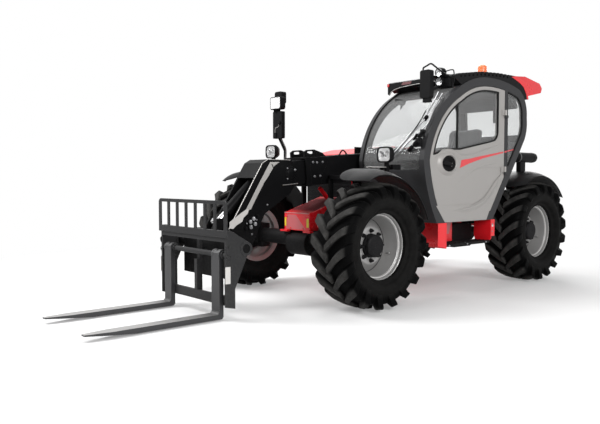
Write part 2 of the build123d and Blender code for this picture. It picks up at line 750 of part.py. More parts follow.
def cab_outline():
    """Draw the side outline of the cab as arcs and lines and fill it."""
    with BuildLine() as outline:
        ThreePointArc(cab_front_low, at(-678, 1139), cab_front_most)
        ThreePointArc(cab_front_most, at(-759, roof_height - 614), cab_roof_front)
        ThreePointArc(cab_roof_front, at(-1425, roof_height - 125), cab_roof_crown)
        ThreePointArc(cab_roof_crown, at(-2060, roof_height - 87), cab_roof_rear)
        ThreePointArc(cab_roof_rear, at(-2510, roof_height - 285), cab_rear_high)
        ThreePointArc(cab_rear_high, at(-2545, roof_height - 605), cab_rear_low)
        Line(cab_rear_low, cab_foot_rear)
        Line(cab_foot_rear, cab_front_low)
    make_face(outline.edges())


def cab_band(reach, depth, inset, low_x, high_x, low_z, high_z, mode=Mode.ADD):
    """Fill the cab outline, inset all round, between two X and two Z values, over a depth in Y."""
    with BuildSketch(side_plane(reach)) as band:
        cab_outline()
        if inset:
            offset(amount=-inset)
        with Locations(((low_x + high_x) / 2, (low_z + high_z) / 2)):
            Rectangle(high_x - low_x, high_z - low_z, mode=Mode.INTERSECT)
    extrude(band.sketch, amount=depth, mode=mode)


cab_low_x = cab_rear_high[0] - 50
cab_high_x = cab_front_most[0] + 50
cab_width = cab_left - cab_right
hinge_x = front_axle_x + door_hinge_ahead
screen_low = 1330
quarter_belt = 1385
right_belt = 1520
rear_screen_low = roof_height - 665
rear_screen_high = roof_height - 245
screen_side = 62
door_cut_rear = hinge_x - door_gap
hinge_line = (hinge_x - 3, cab_left + hinge_radius + 1)
hinge_heights = (1320, 1960)

with BuildPart() as cab_frame:
    with BuildSketch(side_plane(cab_left)):
        cab_outline()
    extrude(amount=cab_width)
    with BuildSketch(side_plane(cab_left - cab_wall)):
        cab_outline()
        offset(amount=-cab_wall)
    extrude(amount=cab_width - 2 * cab_wall, mode=Mode.SUBTRACT)
    # doorway
    cab_band(cab_left, cab_wall, frame_band, door_cut_rear, cab_high_x, cab_floor - 86, roof_height,
             Mode.SUBTRACT)
    # rear quarter window behind the doorway
    cab_band(cab_left, cab_wall, frame_band, cab_low_x, hinge_x - 60, quarter_belt, roof_height, Mode.SUBTRACT)
    # right wall window
    cab_band(cab_right + cab_wall, cab_wall, frame_band + 20, cab_low_x, cab_high_x, right_belt, roof_height,
             Mode.SUBTRACT)
    # windscreen, from the scuttle to the roof
    cab_band(cab_left - screen_side, cab_width - 2 * screen_side, 0, cab_roof_crown[0] + 260, cab_high_x,
             screen_low, roof_height, Mode.SUBTRACT)
    # rear window
    cab_band(cab_left - screen_side, cab_width - 2 * screen_side, 0, cab_low_x, cab_rear_high[0] + 120,
             rear_screen_low, rear_screen_high, Mode.SUBTRACT)
    # fixed halves of the door hinges, each with its pin
    for hinge_z in hinge_heights:
        slab((hinge_x - 52, hinge_line[0]), (cab_left, hinge_line[1] + 6),
             (hinge_z - 28, hinge_z - pin_clearance))
        bar((*hinge_line, hinge_z - 28), (*hinge_line, hinge_z - pin_clearance), hinge_radius)
        bar((*hinge_line, hinge_z - 28), (*hinge_line, hinge_z + 60), hinge_pin_radius)
finish(cab_frame.part, "cab_frame")

window_sill = (   # (x, z) along the lower edge of the door's window, from its front to its back
    (cab_front_most[0] + 50, door_belt - 90), at(-802, door_belt - 60), at(-985, door_belt - 8),
    at(-1223, door_belt), at(-1771, door_belt + 95), (hinge_x + 125, door_belt + 130),
)
handle_place = at(-1015, door_belt - 152)


def window_area(gap):
    """Fill the door's window, drawn in by a gap all round."""
    with BuildSketch(mode=Mode.PRIVATE) as above_sill:
        with BuildLine():
            Polyline(*window_sill, (window_sill[-1][0], roof_height), (window_sill[0][0], roof_height),
                     close=True)
        make_face()
        corners = above_sill.vertices().sort_by(Axis.X)
        fillet(corners[:2].sort_by(Axis.Y)[0], window_corner)
    with BuildSketch(mode=Mode.PRIVATE) as window:
        cab_outline()
        offset(amount=-(frame_band + door_gap + window_rim))
        add(above_sill.sketch, mode=Mode.INTERSECT)
        if gap:
            offset(amount=-gap, kind=Kind.INTERSECTION)
    add(window.sketch)


with BuildPart() as cab_door:
    cab_band(cab_left, door_thickness, frame_band + door_gap, hinge_x, cab_high_x, cab_floor - 86, roof_height)
    # window in the door
    with BuildSketch(side_plane(cab_left)):
        window_area(0)
    extrude(amount=door_thickness, mode=Mode.SUBTRACT)
    # swept panel pressed into the lower half
    with BuildSketch(side_plane(cab_left)) as pressing:
        with BuildLine():
            Polyline(at(-1107, door_belt - 648), at(-1580, door_belt - 583), at(-1890, door_belt - 400),
                     at(-2010, door_belt - 275), at(-2010, door_belt - 175), at(-1521, door_belt - 196),
                     at(-1160, door_belt - 383), close=True)
        make_face()
        fillet(pressing.vertices(), 40)
    extrude(amount=press_depth, mode=Mode.SUBTRACT)
    # round handle cup with a lever across it
    cross_bar(handle_place, cab_left - handle_depth, cab_left + 1, handle_radius, Mode.SUBTRACT)
    with BuildSketch(side_plane(cab_left - 4)):
        with Locations(handle_place):
            SlotOverall(2 * handle_radius + 16, 34, rotation=8)
    extrude(amount=handle_depth - 8)
    # hinge leaves and barrels
    for hinge_z in hinge_heights:
        slab((hinge_line[0], hinge_x + 60), (cab_left, cab_left + 8), (hinge_z, hinge_z + 60))
        bar((*hinge_line, hinge_z), (*hinge_line, hinge_z + 60), hinge_radius)
        bar((*hinge_line, hinge_z - 1), (*hinge_line, hinge_z + 61), hinge_pin_radius + pin_clearance,
            Mode.SUBTRACT)
finish(cab_door.part, "cab_door")

with BuildPart() as door_glass:
    with BuildSketch(side_plane(cab_left - 14)):
        window_area(seat_clearance)
    extrude(amount=glass_thickness)
finish(door_glass.part, "door_glass")

with BuildPart() as windscreen:
    with BuildSketch(side_plane(cab_left - screen_side - seat_clearance)):
        cab_outline()
        with Locations(((cab_roof_crown[0] + 260 + seat_clearance + cab_high_x) / 2,
                        (screen_low + seat_clearance + roof_height) / 2)):
            Rectangle(cab_high_x - cab_roof_crown[0] - 260 - seat_clearance,
                      roof_height - screen_low - seat_clearance, mode=Mode.INTERSECT)
    extrude(amount=cab_width - 2 * screen_side - 2 * seat_clearance)
    with BuildSketch(side_plane(cab_left)):
        cab_outline()
        offset(amount=-glass_thickness)
    extrude(amount=cab_width, mode=Mode.SUBTRACT)
finish(windscreen.part, "windscreen")

with BuildPart() as rear_pane:
    cab_band(cab_left - screen_side - seat_clearance, cab_width - 2 * screen_side - 2 * seat_clearance,
             0, cab_low_x, cab_rear_high[0] + 120 - seat_clearance,
             rear_screen_low + seat_clearance, rear_screen_high - seat_clearance)
    with BuildSketch(side_plane(cab_left)):
        cab_outline()
        offset(amount=-glass_thickness)
    extrude(amount=cab_width, mode=Mode.SUBTRACT)

with BuildPart() as cab_windows:
    cab_band(cab_left - 14, glass_thickness, frame_band + seat_clearance, cab_low_x,
             hinge_x - 60 - seat_clearance, quarter_belt + seat_clearance, roof_height)
    cab_band(cab_right + 14 + glass_thickness, glass_thickness, frame_band + 20 + seat_clearance,
             cab_low_x, cab_high_x, right_belt + seat_clearance, roof_height)
    add(rear_pane.part)
finish(cab_windows.part, "cab_windows")

def roof_area(drop=0):
    """Fill the roof cap's side outline, lowered by a drop, before the cab is cut out of it."""
    top = roof_height - drop
    brow = top - 100
    back = top - 55
    hem = top - 275
    with BuildLine() as outline:
        Polyline(at(-1130, brow - 40), at(-1130, brow), at(-1180, brow + 17), at(-1600, top - 20),
                 at(-1950, top), at(-2300, top), at(-2520, back), at(-2580, back - 190),
                 at(-2000, hem), at(-1400, hem), close=True)
    make_face(outline.edges())


with BuildPart() as cab_roof:
    with BuildSketch(side_plane(cab_left - 4)):
        roof_area()
        with BuildSketch(mode=Mode.PRIVATE) as shell:
            cab_outline()
            offset(amount=seat_clearance)
        add(shell.sketch, mode=Mode.SUBTRACT)
    extrude(amount=cab_width + 40)
    # grille of ribs across the top
    with BuildSketch(side_plane(cab_left)):
        with Locations(at(-1230 - roof_rib_pitch * (roof_rib_gaps - 1) / 2, roof_height - roof_rib_depth)):
            with GridLocations(roof_rib_pitch, 0, roof_rib_gaps, 1):
                Rectangle(roof_rib_gap, 4 * roof_rib_depth)
        with BuildSketch(mode=Mode.PRIVATE) as core:
            roof_area(roof_rib_depth)
        add(core.sketch, mode=Mode.SUBTRACT)
    extrude(amount=cab_width + 60, mode=Mode.SUBTRACT)
finish(cab_roof.part, "cab_roof")

with BuildPart() as roof_spoiler:
    with BuildSketch(side_plane(1060)):
        with BuildLine():
            Polyline(at(-2300, roof_height - 15), at(-2310, roof_height + 6), at(-2560, roof_height + 27),
                     at(-2900, roof_height - 25), at(-2955, roof_height - 80), at(-2930, roof_height - 135),
                     at(-2640, roof_height - 195), at(-2560, roof_height - 225), close=True)
        make_face()
        with BuildSketch(mode=Mode.PRIVATE) as roof_seat:
            roof_area()
            offset(amount=seat_clearance, kind=Kind.INTERSECTION)
        add(roof_seat.sketch, mode=Mode.SUBTRACT)
    extrude(amount=810)
finish(roof_spoiler.part, "roof_spoiler")

with BuildPart() as beacon:
    beacon_x = front_axle_x - 1975
    bar((beacon_x, 860, roof_height), (beacon_x, 860, roof_height + 25), 62)
    bar((beacon_x, 860, roof_height + 25), (beacon_x, 860, roof_height + 120), 52)
    fillet(beacon.faces().sort_by(Axis.Z)[-1].edges(), 26)
finish(beacon.part, "beacon")

# ---- inside the cab
seat_y = 650
with BuildPart() as seat_frame:
    slab((front_axle_x - 1790, front_axle_x - 1480), (seat_y - 150, seat_y + 150),
         (cab_floor + cab_wall, 1130))
    slab((front_axle_x - 1920, front_axle_x - 1450), (seat_y - 225, seat_y + 225), (1130, 1170))
finish(seat_frame.part, "seat_frame")

with BuildPart() as seat_cushions:
    slab((front_axle_x - 1900, front_axle_x - 1430), (seat_y - 240, seat_y + 240),
         (1170 + seat_clearance, 1280))
    side_plate([at(-1915, 1280 + seat_clearance), at(-1815, 1280 + seat_clearance), at(-1935, 1830),
                at(-2030, 1830)], seat_y - 230, seat_y + 230)
finish(seat_cushions.part, "seat_cushions")

with BuildPart() as steering_column:
    side_plate([at(-960, cab_floor + cab_wall), at(-1130, cab_floor + cab_wall), at(-1160, 1300),
                at(-1010, 1380), at(-860, 1340), at(-840, 1180)], seat_y - 110, seat_y + 110)
    bar((front_axle_x - 1120, seat_y, 1300), (front_axle_x - 1225, seat_y, 1450), 30)
finish(steering_column.part, "steering_column")

with BuildPart() as steering_wheel:
    wheel_centre = (front_axle_x - 1225.2, seat_y, 1450.3)
    wheel_plane = Plane(origin=wheel_centre, z_dir=(-105, 0, 150))
    with BuildSketch(wheel_plane):
        Circle(45)
    extrude(amount=25)
    with BuildSketch(wheel_plane.offset(4)):
        Rectangle(350, 34)
        Rectangle(34, 350)
    extrude(amount=14)
    with BuildSketch(wheel_plane):
        Circle(190)
        Circle(165, mode=Mode.SUBTRACT)
    extrude(amount=22)
finish(steering_wheel.part, "steering_wheel")

# ================================================================ fenders
for end, axle_x, rod_side in axles:
    start, stop = (58, 164) if end == "front" else (42, 152)
    with BuildPart() as fenders:
        for side_name, side in sides:
            section = Plane(origin=(axle_x, 0, hub_height), x_dir=(0, side, 0), z_dir=(side, 0, 0))
            with BuildSketch(section):
                with BuildLine():
                    Polyline((fender_inner_reach, fender_radius), (fender_crown_reach, fender_radius),
                             (fender_outer_reach - 30, fender_radius - 22),
                             (fender_outer_reach, fender_radius - 62),
                             (fender_outer_reach - 8, fender_radius - 62),
                             (fender_outer_reach - 36, fender_radius - 22 - fender_thickness),
                             (fender_crown_reach, fender_radius - fender_thickness),
                             (fender_inner_reach, fender_radius - fender_thickness), close=True)
                make_face()
            revolve(axis=Axis((axle_x, 0, hub_height), (0, 1, 0)), revolution_arc=360)
        # keep only the arc over the wheel
        with BuildSketch(side_plane(overall_width / 2)):
            with BuildLine():
                first = math.radians(start)
                last = math.radians(stop)
                reach = 3 * fender_radius
                Polyline((axle_x, hub_height),
                         (axle_x + reach * math.cos(first), hub_height + reach * math.sin(first)),
                         (axle_x, hub_height + reach),
                         (axle_x + reach * math.cos(last), hub_height + reach * math.sin(last)), close=True)
            make_face()
        extrude(amount=overall_width, mode=Mode.INTERSECT)
        # arm from the frame to the crown of each fender
        arm_x = axle_x - 190 if end == "front" else axle_x + 30
        skin_height = math.sqrt((fender_radius - 4) ** 2 - (abs(arm_x - axle_x) + 30) ** 2)
        arm_top = hub_height + skin_height
        for side_name, side in sides:
            post_y = side * (frame_half_width + seat_clearance)
            slab((arm_x - 30, arm_x + 30), (post_y, post_y + side * 28), (900, arm_top - 15))
            slab((arm_x - 30, arm_x + 30), (post_y, side * (fender_inner_reach + 20)),
                 (arm_top - 60, arm_top - 15))
            slab((arm_x - 30, arm_x + 30), (side * fender_inner_reach, side * (fender_inner_reach + 30)),
                 (arm_top - 60, arm_top))
    finish(fenders.part, f"{end}_fenders")

# ================================================================ engine side
hood_hinge = (-hood_inner_reach + hinge_radius - 2, hood_top - 4)
hood_hinge_places = (front_axle_x + hood_rear_ahead + 60, front_axle_x + hood_rear_ahead + 400)
with BuildPart() as engine_tray:
    inner_wall = -(frame_half_width + seat_clearance)
    tray_x = (front_axle_x + hood_rear_ahead + 20, front_axle_x + hood_front_ahead - 20)
    slab(tray_x, (-hood_outer_reach + 20, inner_wall), (tray_height, tray_height + 12))
    slab(tray_x, (inner_wall - 12, inner_wall), (tray_height, hood_hinge[1] - hinge_radius - door_gap))
    slab(tray_x, (-hood_outer_reach + 20, -hood_outer_reach + 32), (tray_height, hood_bottom - door_gap))
    # fixed halves of the hood hinges, each with its pin
    for hinge_x_low in hood_hinge_places:
        slab((hinge_x_low - 40, hinge_x_low - pin_clearance), (hood_hinge[0] - 7, inner_wall),
             (hood_hinge[1] - 30, hood_hinge[1] + 7))
        bar((hinge_x_low - 40, *hood_hinge), (hinge_x_low + 60, *hood_hinge), hinge_pin_radius)
finish(engine_tray.part, "engine_tray")

with BuildPart() as engine_block:
    slab((front_axle_x - 1900, front_axle_x - 1180), (-880, -360), (tray_height + 12, 1330))
finish(engine_block.part, "engine_block")

hood_side = (   # (ahead, height) of the hood seen from the side
    (hood_front_ahead, hood_bottom), (hood_front_ahead, 1400), (-1010, 1540), (-1300, 1612),
    (-1600, hood_top), (hood_rear_ahead, hood_top), (hood_rear_ahead, hood_bottom),
)
hood_space_side = (   # (ahead, height) of the room under the hood
    (hood_front_ahead - hood_panel, hood_bottom - 1), (hood_front_ahead - hood_panel, 1394),
    (-1010 - hood_panel, 1540 - hood_panel), (-1300, 1612 - hood_panel),
    (-1600, hood_top - hood_panel), (hood_rear_ahead + hood_panel, hood_top - hood_panel),
    (hood_rear_ahead + hood_panel, hood_bottom - 1),
)
with BuildPart() as hood_space:
    side_plate([at(*p) for p in hood_space_side], -hood_outer_reach + hood_panel, -hood_inner_reach + 1)
    with BuildSketch(Plane.YZ.offset(front_axle_x + hood_rear_ahead)):
        with BuildLine():
            Polyline((-hood_inner_reach + 1, hood_bottom - 1), (-hood_inner_reach + 1, hood_top - hood_panel),
                     (-hood_outer_reach + 170, hood_top - hood_panel))
            RadiusArc((-hood_outer_reach + 170, hood_top - hood_panel),
                      (-hood_outer_reach + hood_panel, hood_top - 210), -200)
            Polyline((-hood_outer_reach + hood_panel, hood_top - 210),
                     (-hood_outer_reach + hood_panel, hood_bottom - 1),
                     (-hood_inner_reach + 1, hood_bottom - 1))
        make_face()
    extrude(amount=hood_front_ahead - hood_rear_ahead, mode=Mode.INTERSECT)

with BuildPart() as engine_hood:
    side_plate([at(*p) for p in hood_side], -hood_outer_reach, -hood_inner_reach)
    with BuildSketch(Plane.YZ.offset(front_axle_x + hood_rear_ahead)):
        with BuildLine():
            Polyline((-hood_inner_reach, hood_bottom), (-hood_inner_reach, hood_top),
                     (-hood_outer_reach + 170, hood_top))
            RadiusArc((-hood_outer_reach + 170, hood_top), (-hood_outer_reach, hood_top - 210), -210)
            Polyline((-hood_outer_reach, hood_top - 210), (-hood_outer_reach, hood_bottom),
                     (-hood_inner_reach, hood_bottom))
        make_face()
    extrude(amount=hood_front_ahead - hood_rear_ahead, mode=Mode.INTERSECT)
    add(hood_space.part, mode=Mode.SUBTRACT)
    # louvres in the outer side
    slot_x = front_axle_x + (hood_front_ahead + hood_rear_ahead) / 2
    with BuildSketch(Plane.XZ.offset(hood_outer_reach)):
        with Locations((slot_x, 1120)):
            with GridLocations(360, 44, 2, 7):
                Rectangle(300, 16)
    extrude(amount=-2 * hood_panel, mode=Mode.SUBTRACT)
    # hinge barrels on the inner top edge
    for hinge_x_low in hood_hinge_places:
        bar((hinge_x_low, *hood_hinge), (hinge_x_low + 60, *hood_hinge), hinge_radius)
        bar((hinge_x_low - 1, *hood_hinge), (hinge_x_low + 61, *hood_hinge),
            hinge_pin_radius + pin_clearance, Mode.SUBTRACT)
finish(engine_hood.part, "engine_hood")

with BuildPart() as fuel_tank:
    slab((front_axle_x - 1790, front_axle_x - 1420), (frame_half_width + seat_clearance, 870), (480, 740))
    fillet(fuel_tank.part.edges().filter_by(Axis.Y), 40)
finish(fuel_tank.part, "fuel_tank")

with BuildPart() as counterweight:
    side_plate([at(frame_tail - seat_clearance, 1050), at(frame_tail - seat_clearance, 500),
                at(tail_ahead + 150, 500), at(tail_ahead + 100, jaw_low), at(tail_ahead, jaw_low),
                at(tail_ahead, 940), at(tail_ahead + 70, 1050)], -400, 400)
    fillet(counterweight.part.edges().filter_by(Axis.Y), 15)
    # towing jaw cut into the back, with a bore for its pin
    tail_x = front_axle_x + tail_ahead
    slab((tail_x - 1, tail_x + 110), (-70, 70), (jaw_low + 90, jaw_low + 170), Mode.SUBTRACT)
    bar((tail_x + 50, 0, jaw_low), (tail_x + 50, 0, jaw_low + 260), tow_pin_radius, Mode.SUBTRACT)
finish(counterweight.part, "counterweight")

# ================================================================ step, lamps and mirrors
step_top = cab_floor - seat_clearance
with BuildPart() as step_brackets:
    slab((front_axle_x - 1006, front_axle_x - 994), (905, cab_left), (515, step_top))
    slab((front_axle_x - 1006, front_axle_x - 996), (880 + seat_clearance, 905), (515, step_top))
    with BuildSketch(Plane.YZ.offset(front_axle_x - 1832)):
        with BuildLine():
            Polyline((880, step_top), (cab_left, step_top), (cab_left, 575), (1060, 530), (905, 520),
                     (880, 600), close=True)
        make_face()
    extrude(amount=12)
    slab((front_axle_x - 1895, front_axle_x - 1820), (cab_left - 12, cab_left), (600, step_top))
finish(step_brackets.part, "step_brackets")

with BuildPart() as step_tread:
    slab((front_axle_x - 1820 + seat_clearance, front_axle_x - 1006 - seat_clearance), (900, cab_left - 15),
         (528, 552))
finish(step_tread.part, "step_tread")


def fender_top(axle_x, ahead):
    """Return the height of the fender's crown above one place, measured ahead of the front axle."""
    return hub_height + math.sqrt(fender_radius ** 2 - (front_axle_x + ahead - axle_x) ** 2)


mirror_arm_height = roof_height - 117
lamp_width, lamp_height, lamp_corner, lamp_rim = 182, 156, 54, 9
with BuildPart() as lamps:
    for lamp_ahead, lamp_y, lamp_z in ((-350, 850, 1480), (-270, -850, 1560)):
        # shell that widens from its back to the lens, with a rim round the lens
        for depth, across, tall, corner in ((-45, 110, 100, 38), (10, lamp_width, lamp_height, lamp_corner)):
            with BuildSketch(Plane.YZ.offset(front_axle_x + lamp_ahead + depth)):
                with Locations((lamp_y, lamp_z)):
                    RectangleRounded(across, tall, corner)
        loft(ruled=True)
        with BuildSketch(Plane.YZ.offset(front_axle_x + lamp_ahead + 10)):
            with Locations((lamp_y, lamp_z)):
                RectangleRounded(lamp_width, lamp_height, lamp_corner)
        extrude(amount=35)
        with BuildSketch(Plane.YZ.offset(front_axle_x + lamp_ahead + 39)):
            with Locations((lamp_y, lamp_z)):
                RectangleRounded(lamp_width - 2 * lamp_rim, lamp_height - 2 * lamp_rim, lamp_corner - lamp_rim)
        extrude(amount=10, mode=Mode.SUBTRACT)
        foot = fender_top(front_axle_x, lamp_ahead + 20) + seat_clearance
        slab((front_axle_x + lamp_ahead - 20, front_axle_x + lamp_ahead + 20), (lamp_y - 15, lamp_y + 15),
             (foot, lamp_z - 60))
    # work lamps on the roof corner
    for lamp_ahead, lamp_z in ((-930, roof_height - 95), (-930, roof_height - 190)):
        bar((front_axle_x + lamp_ahead - 60, 1040, lamp_z), (front_axle_x + lamp_ahead, 1040, lamp_z), 46)
    slab((front_axle_x - 1130 + seat_clearance, front_axle_x - 985), (1025, 1055),
         (mirror_arm_height - 13, mirror_arm_height + 17))
    slab((front_axle_x - 1000, front_axle_x - 980), (1025, 1055), (roof_height - 190, roof_height - 95))
    slab((front_axle_x - 1000, front_axle_x - 980), (960, 1025),
         (mirror_arm_height - 25, mirror_arm_height - 5))
finish(lamps.part, "lamps")

with BuildPart() as rear_pod:
    bar((front_axle_x - 2980, 915, 1505), (front_axle_x - 2600, 915, 1505), 62)
    fillet(rear_pod.edges().filter_by(GeomType.CIRCLE), 44)

with BuildPart() as mirrors:
    # left mirror on the roof corner
    panel((front_axle_x - 830, front_axle_x - 770), (920, 1050), (roof_height - 365, roof_height - 80), 22)
    slab((front_axle_x - 980 + seat_clearance, front_axle_x - 800), (965, 985),
         (mirror_arm_height - 25, mirror_arm_height - 5))
    # right mirror on its mast
    foot = fender_top(front_axle_x, -430) + seat_clearance
    bar((front_axle_x - 445, -850, foot), (front_axle_x - 445, -850, 1590), 15)
    bar((front_axle_x - 445, -850, 1580), (front_axle_x - 350, -850, 1740), 15)
    panel((front_axle_x - 380, front_axle_x - 330), (-935, -770), (1720, 2040), 16)
    slab((front_axle_x - 365, front_axle_x - 340), (-865, -835), (2030, 2120))
    panel((front_axle_x - 370, front_axle_x - 300), (-950, -750), (2060, 2210), 28)
    panel((front_axle_x - 400, front_axle_x - 330), (-900, -770), (2130, 2270), 24)
    # rear mirror pod on its post
    foot = fender_top(rear_axle_x, -2790) + seat_clearance
    slab((front_axle_x - 2790, front_axle_x - 2700), (900, 930), (foot, 1450))
    add(rear_pod.part)
finish(mirrors.part, "mirrors")
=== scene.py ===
"""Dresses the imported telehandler: finishes, tyres, rims, cab fittings, lamps and studio."""

import json
import logging
import math
from dataclasses import dataclass
from enum import Enum
from typing import Any, Iterable, Optional, Sequence

import bmesh
import bpy
from mathutils import Matrix, Vector


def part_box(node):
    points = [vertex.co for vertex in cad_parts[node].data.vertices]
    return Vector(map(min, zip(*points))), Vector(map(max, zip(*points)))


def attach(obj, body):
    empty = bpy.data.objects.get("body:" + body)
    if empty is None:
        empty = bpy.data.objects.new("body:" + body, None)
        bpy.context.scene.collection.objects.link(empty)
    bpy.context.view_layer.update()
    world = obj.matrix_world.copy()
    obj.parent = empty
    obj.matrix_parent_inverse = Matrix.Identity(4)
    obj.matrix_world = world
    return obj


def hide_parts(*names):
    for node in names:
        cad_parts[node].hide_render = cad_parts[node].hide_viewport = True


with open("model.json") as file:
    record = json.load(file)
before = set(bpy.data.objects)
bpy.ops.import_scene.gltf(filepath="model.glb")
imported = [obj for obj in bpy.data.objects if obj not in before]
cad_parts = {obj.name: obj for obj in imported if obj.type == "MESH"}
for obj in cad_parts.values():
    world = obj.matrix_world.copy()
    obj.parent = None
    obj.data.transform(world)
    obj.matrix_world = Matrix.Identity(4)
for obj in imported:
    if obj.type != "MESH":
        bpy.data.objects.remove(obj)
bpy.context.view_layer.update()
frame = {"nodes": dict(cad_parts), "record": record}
LOG = logging.getLogger("telehandler")

Colour = tuple[float, float, float]
Point = tuple[float, float, float]
Flat = tuple[float, float]
FULL_TURN = 2 * math.pi


class Side(Enum):
    """The machine's left and right sides, as signs of Y."""

    LEFT = 1
    RIGHT = -1


class End(Enum):
    """The two axles."""

    FRONT = "front"
    REAR = "rear"


def mm(*rows: Sequence[float]) -> list[tuple[float, ...]]:
    """Turn rows written in millimetres into metres."""
    return [tuple(round(size / 1000, 6) for size in row) for row in rows]


def centre_of(node: str) -> Vector:
    """Return the middle of a frame node's box.

    Args:
        node: name of the node.

    Returns:
        The middle of the box, in metres.
    """
    low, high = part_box(node)
    return (low + high) / 2


FRONT_X = centre_of("hub_front_left").x


def ahead(forward: float, y: float, z: float) -> Vector:
    """Return a place given by its distance ahead of the front axle.

    Args:
        forward: metres ahead of the front axle.
        y: metres to the left.
        z: metres above the ground.

    Returns:
        The place in the shared frame.
    """
    return Vector((FRONT_X + forward, y, z))


# ------------------------------------------------------------------ shader maths
class Signal:
    """A number carried by a shader socket, used in ordinary expressions."""

    def __init__(self, shader: "Shader", socket: bpy.types.NodeSocket) -> None:
        """Wrap a socket of a shader."""
        self.shader = shader
        self.socket = socket

    def _maths(self, operation: str, *terms: Any) -> "Signal":
        """Add a Math node over some terms."""
        made = self.shader.node("ShaderNodeMath", {"operation": operation}, dict(enumerate(terms)))
        return Signal(self.shader, made.outputs[0])

    def __add__(self, other: Any) -> "Signal":
        """Add."""
        return self._maths("ADD", self, other)
    __radd__ = __add__

    def __sub__(self, other: Any) -> "Signal":
        """Subtract."""
        return self._maths("SUBTRACT", self, other)

    def __rsub__(self, other: Any) -> "Signal":
        """Subtract from a number."""
        return self._maths("SUBTRACT", other, self)

    def __mul__(self, other: Any) -> "Signal":
        """Multiply."""
        return self._maths("MULTIPLY", self, other)
    __rmul__ = __mul__

    def __truediv__(self, other: Any) -> "Signal":
        """Divide."""
        return self._maths("DIVIDE", self, other)

    def __pow__(self, other: Any) -> "Signal":
        """Raise to a power."""
        return self._maths("POWER", self, other)

    def __gt__(self, other: Any) -> "Signal":
        """Return 1 where greater."""
        return self._maths("GREATER_THAN", self, other)

    def __lt__(self, other: Any) -> "Signal":
        """Return 1 where less."""
        return self._maths("LESS_THAN", self, other)

    def absolute(self) -> "Signal":
        """Return the size without its sign."""
        return self._maths("ABSOLUTE", self)

    def wave(self) -> "Signal":
        """Return the sine."""
        return self._maths("SINE", self)

    def least(self, other: Any) -> "Signal":
        """Return the smaller of two."""
        return self._maths("MINIMUM", self, other)

    def most(self, other: Any) -> "Signal":
        """Return the larger of two."""
        return self._maths("MAXIMUM", self, other)

    def step(self, low: float, high: float) -> "Signal":
        """Rise smoothly from 0 to 1.

        Args:
            low: value at which the rise starts.
            high: value at which it ends.

        Returns:
            The smoothed step.
        """
        made = self.shader.node("ShaderNodeMapRange", {"interpolation_type": "SMOOTHSTEP"},
            {"Value": self, "From Min": low, "From Max": high})
        return Signal(self.shader, made.outputs["Result"])


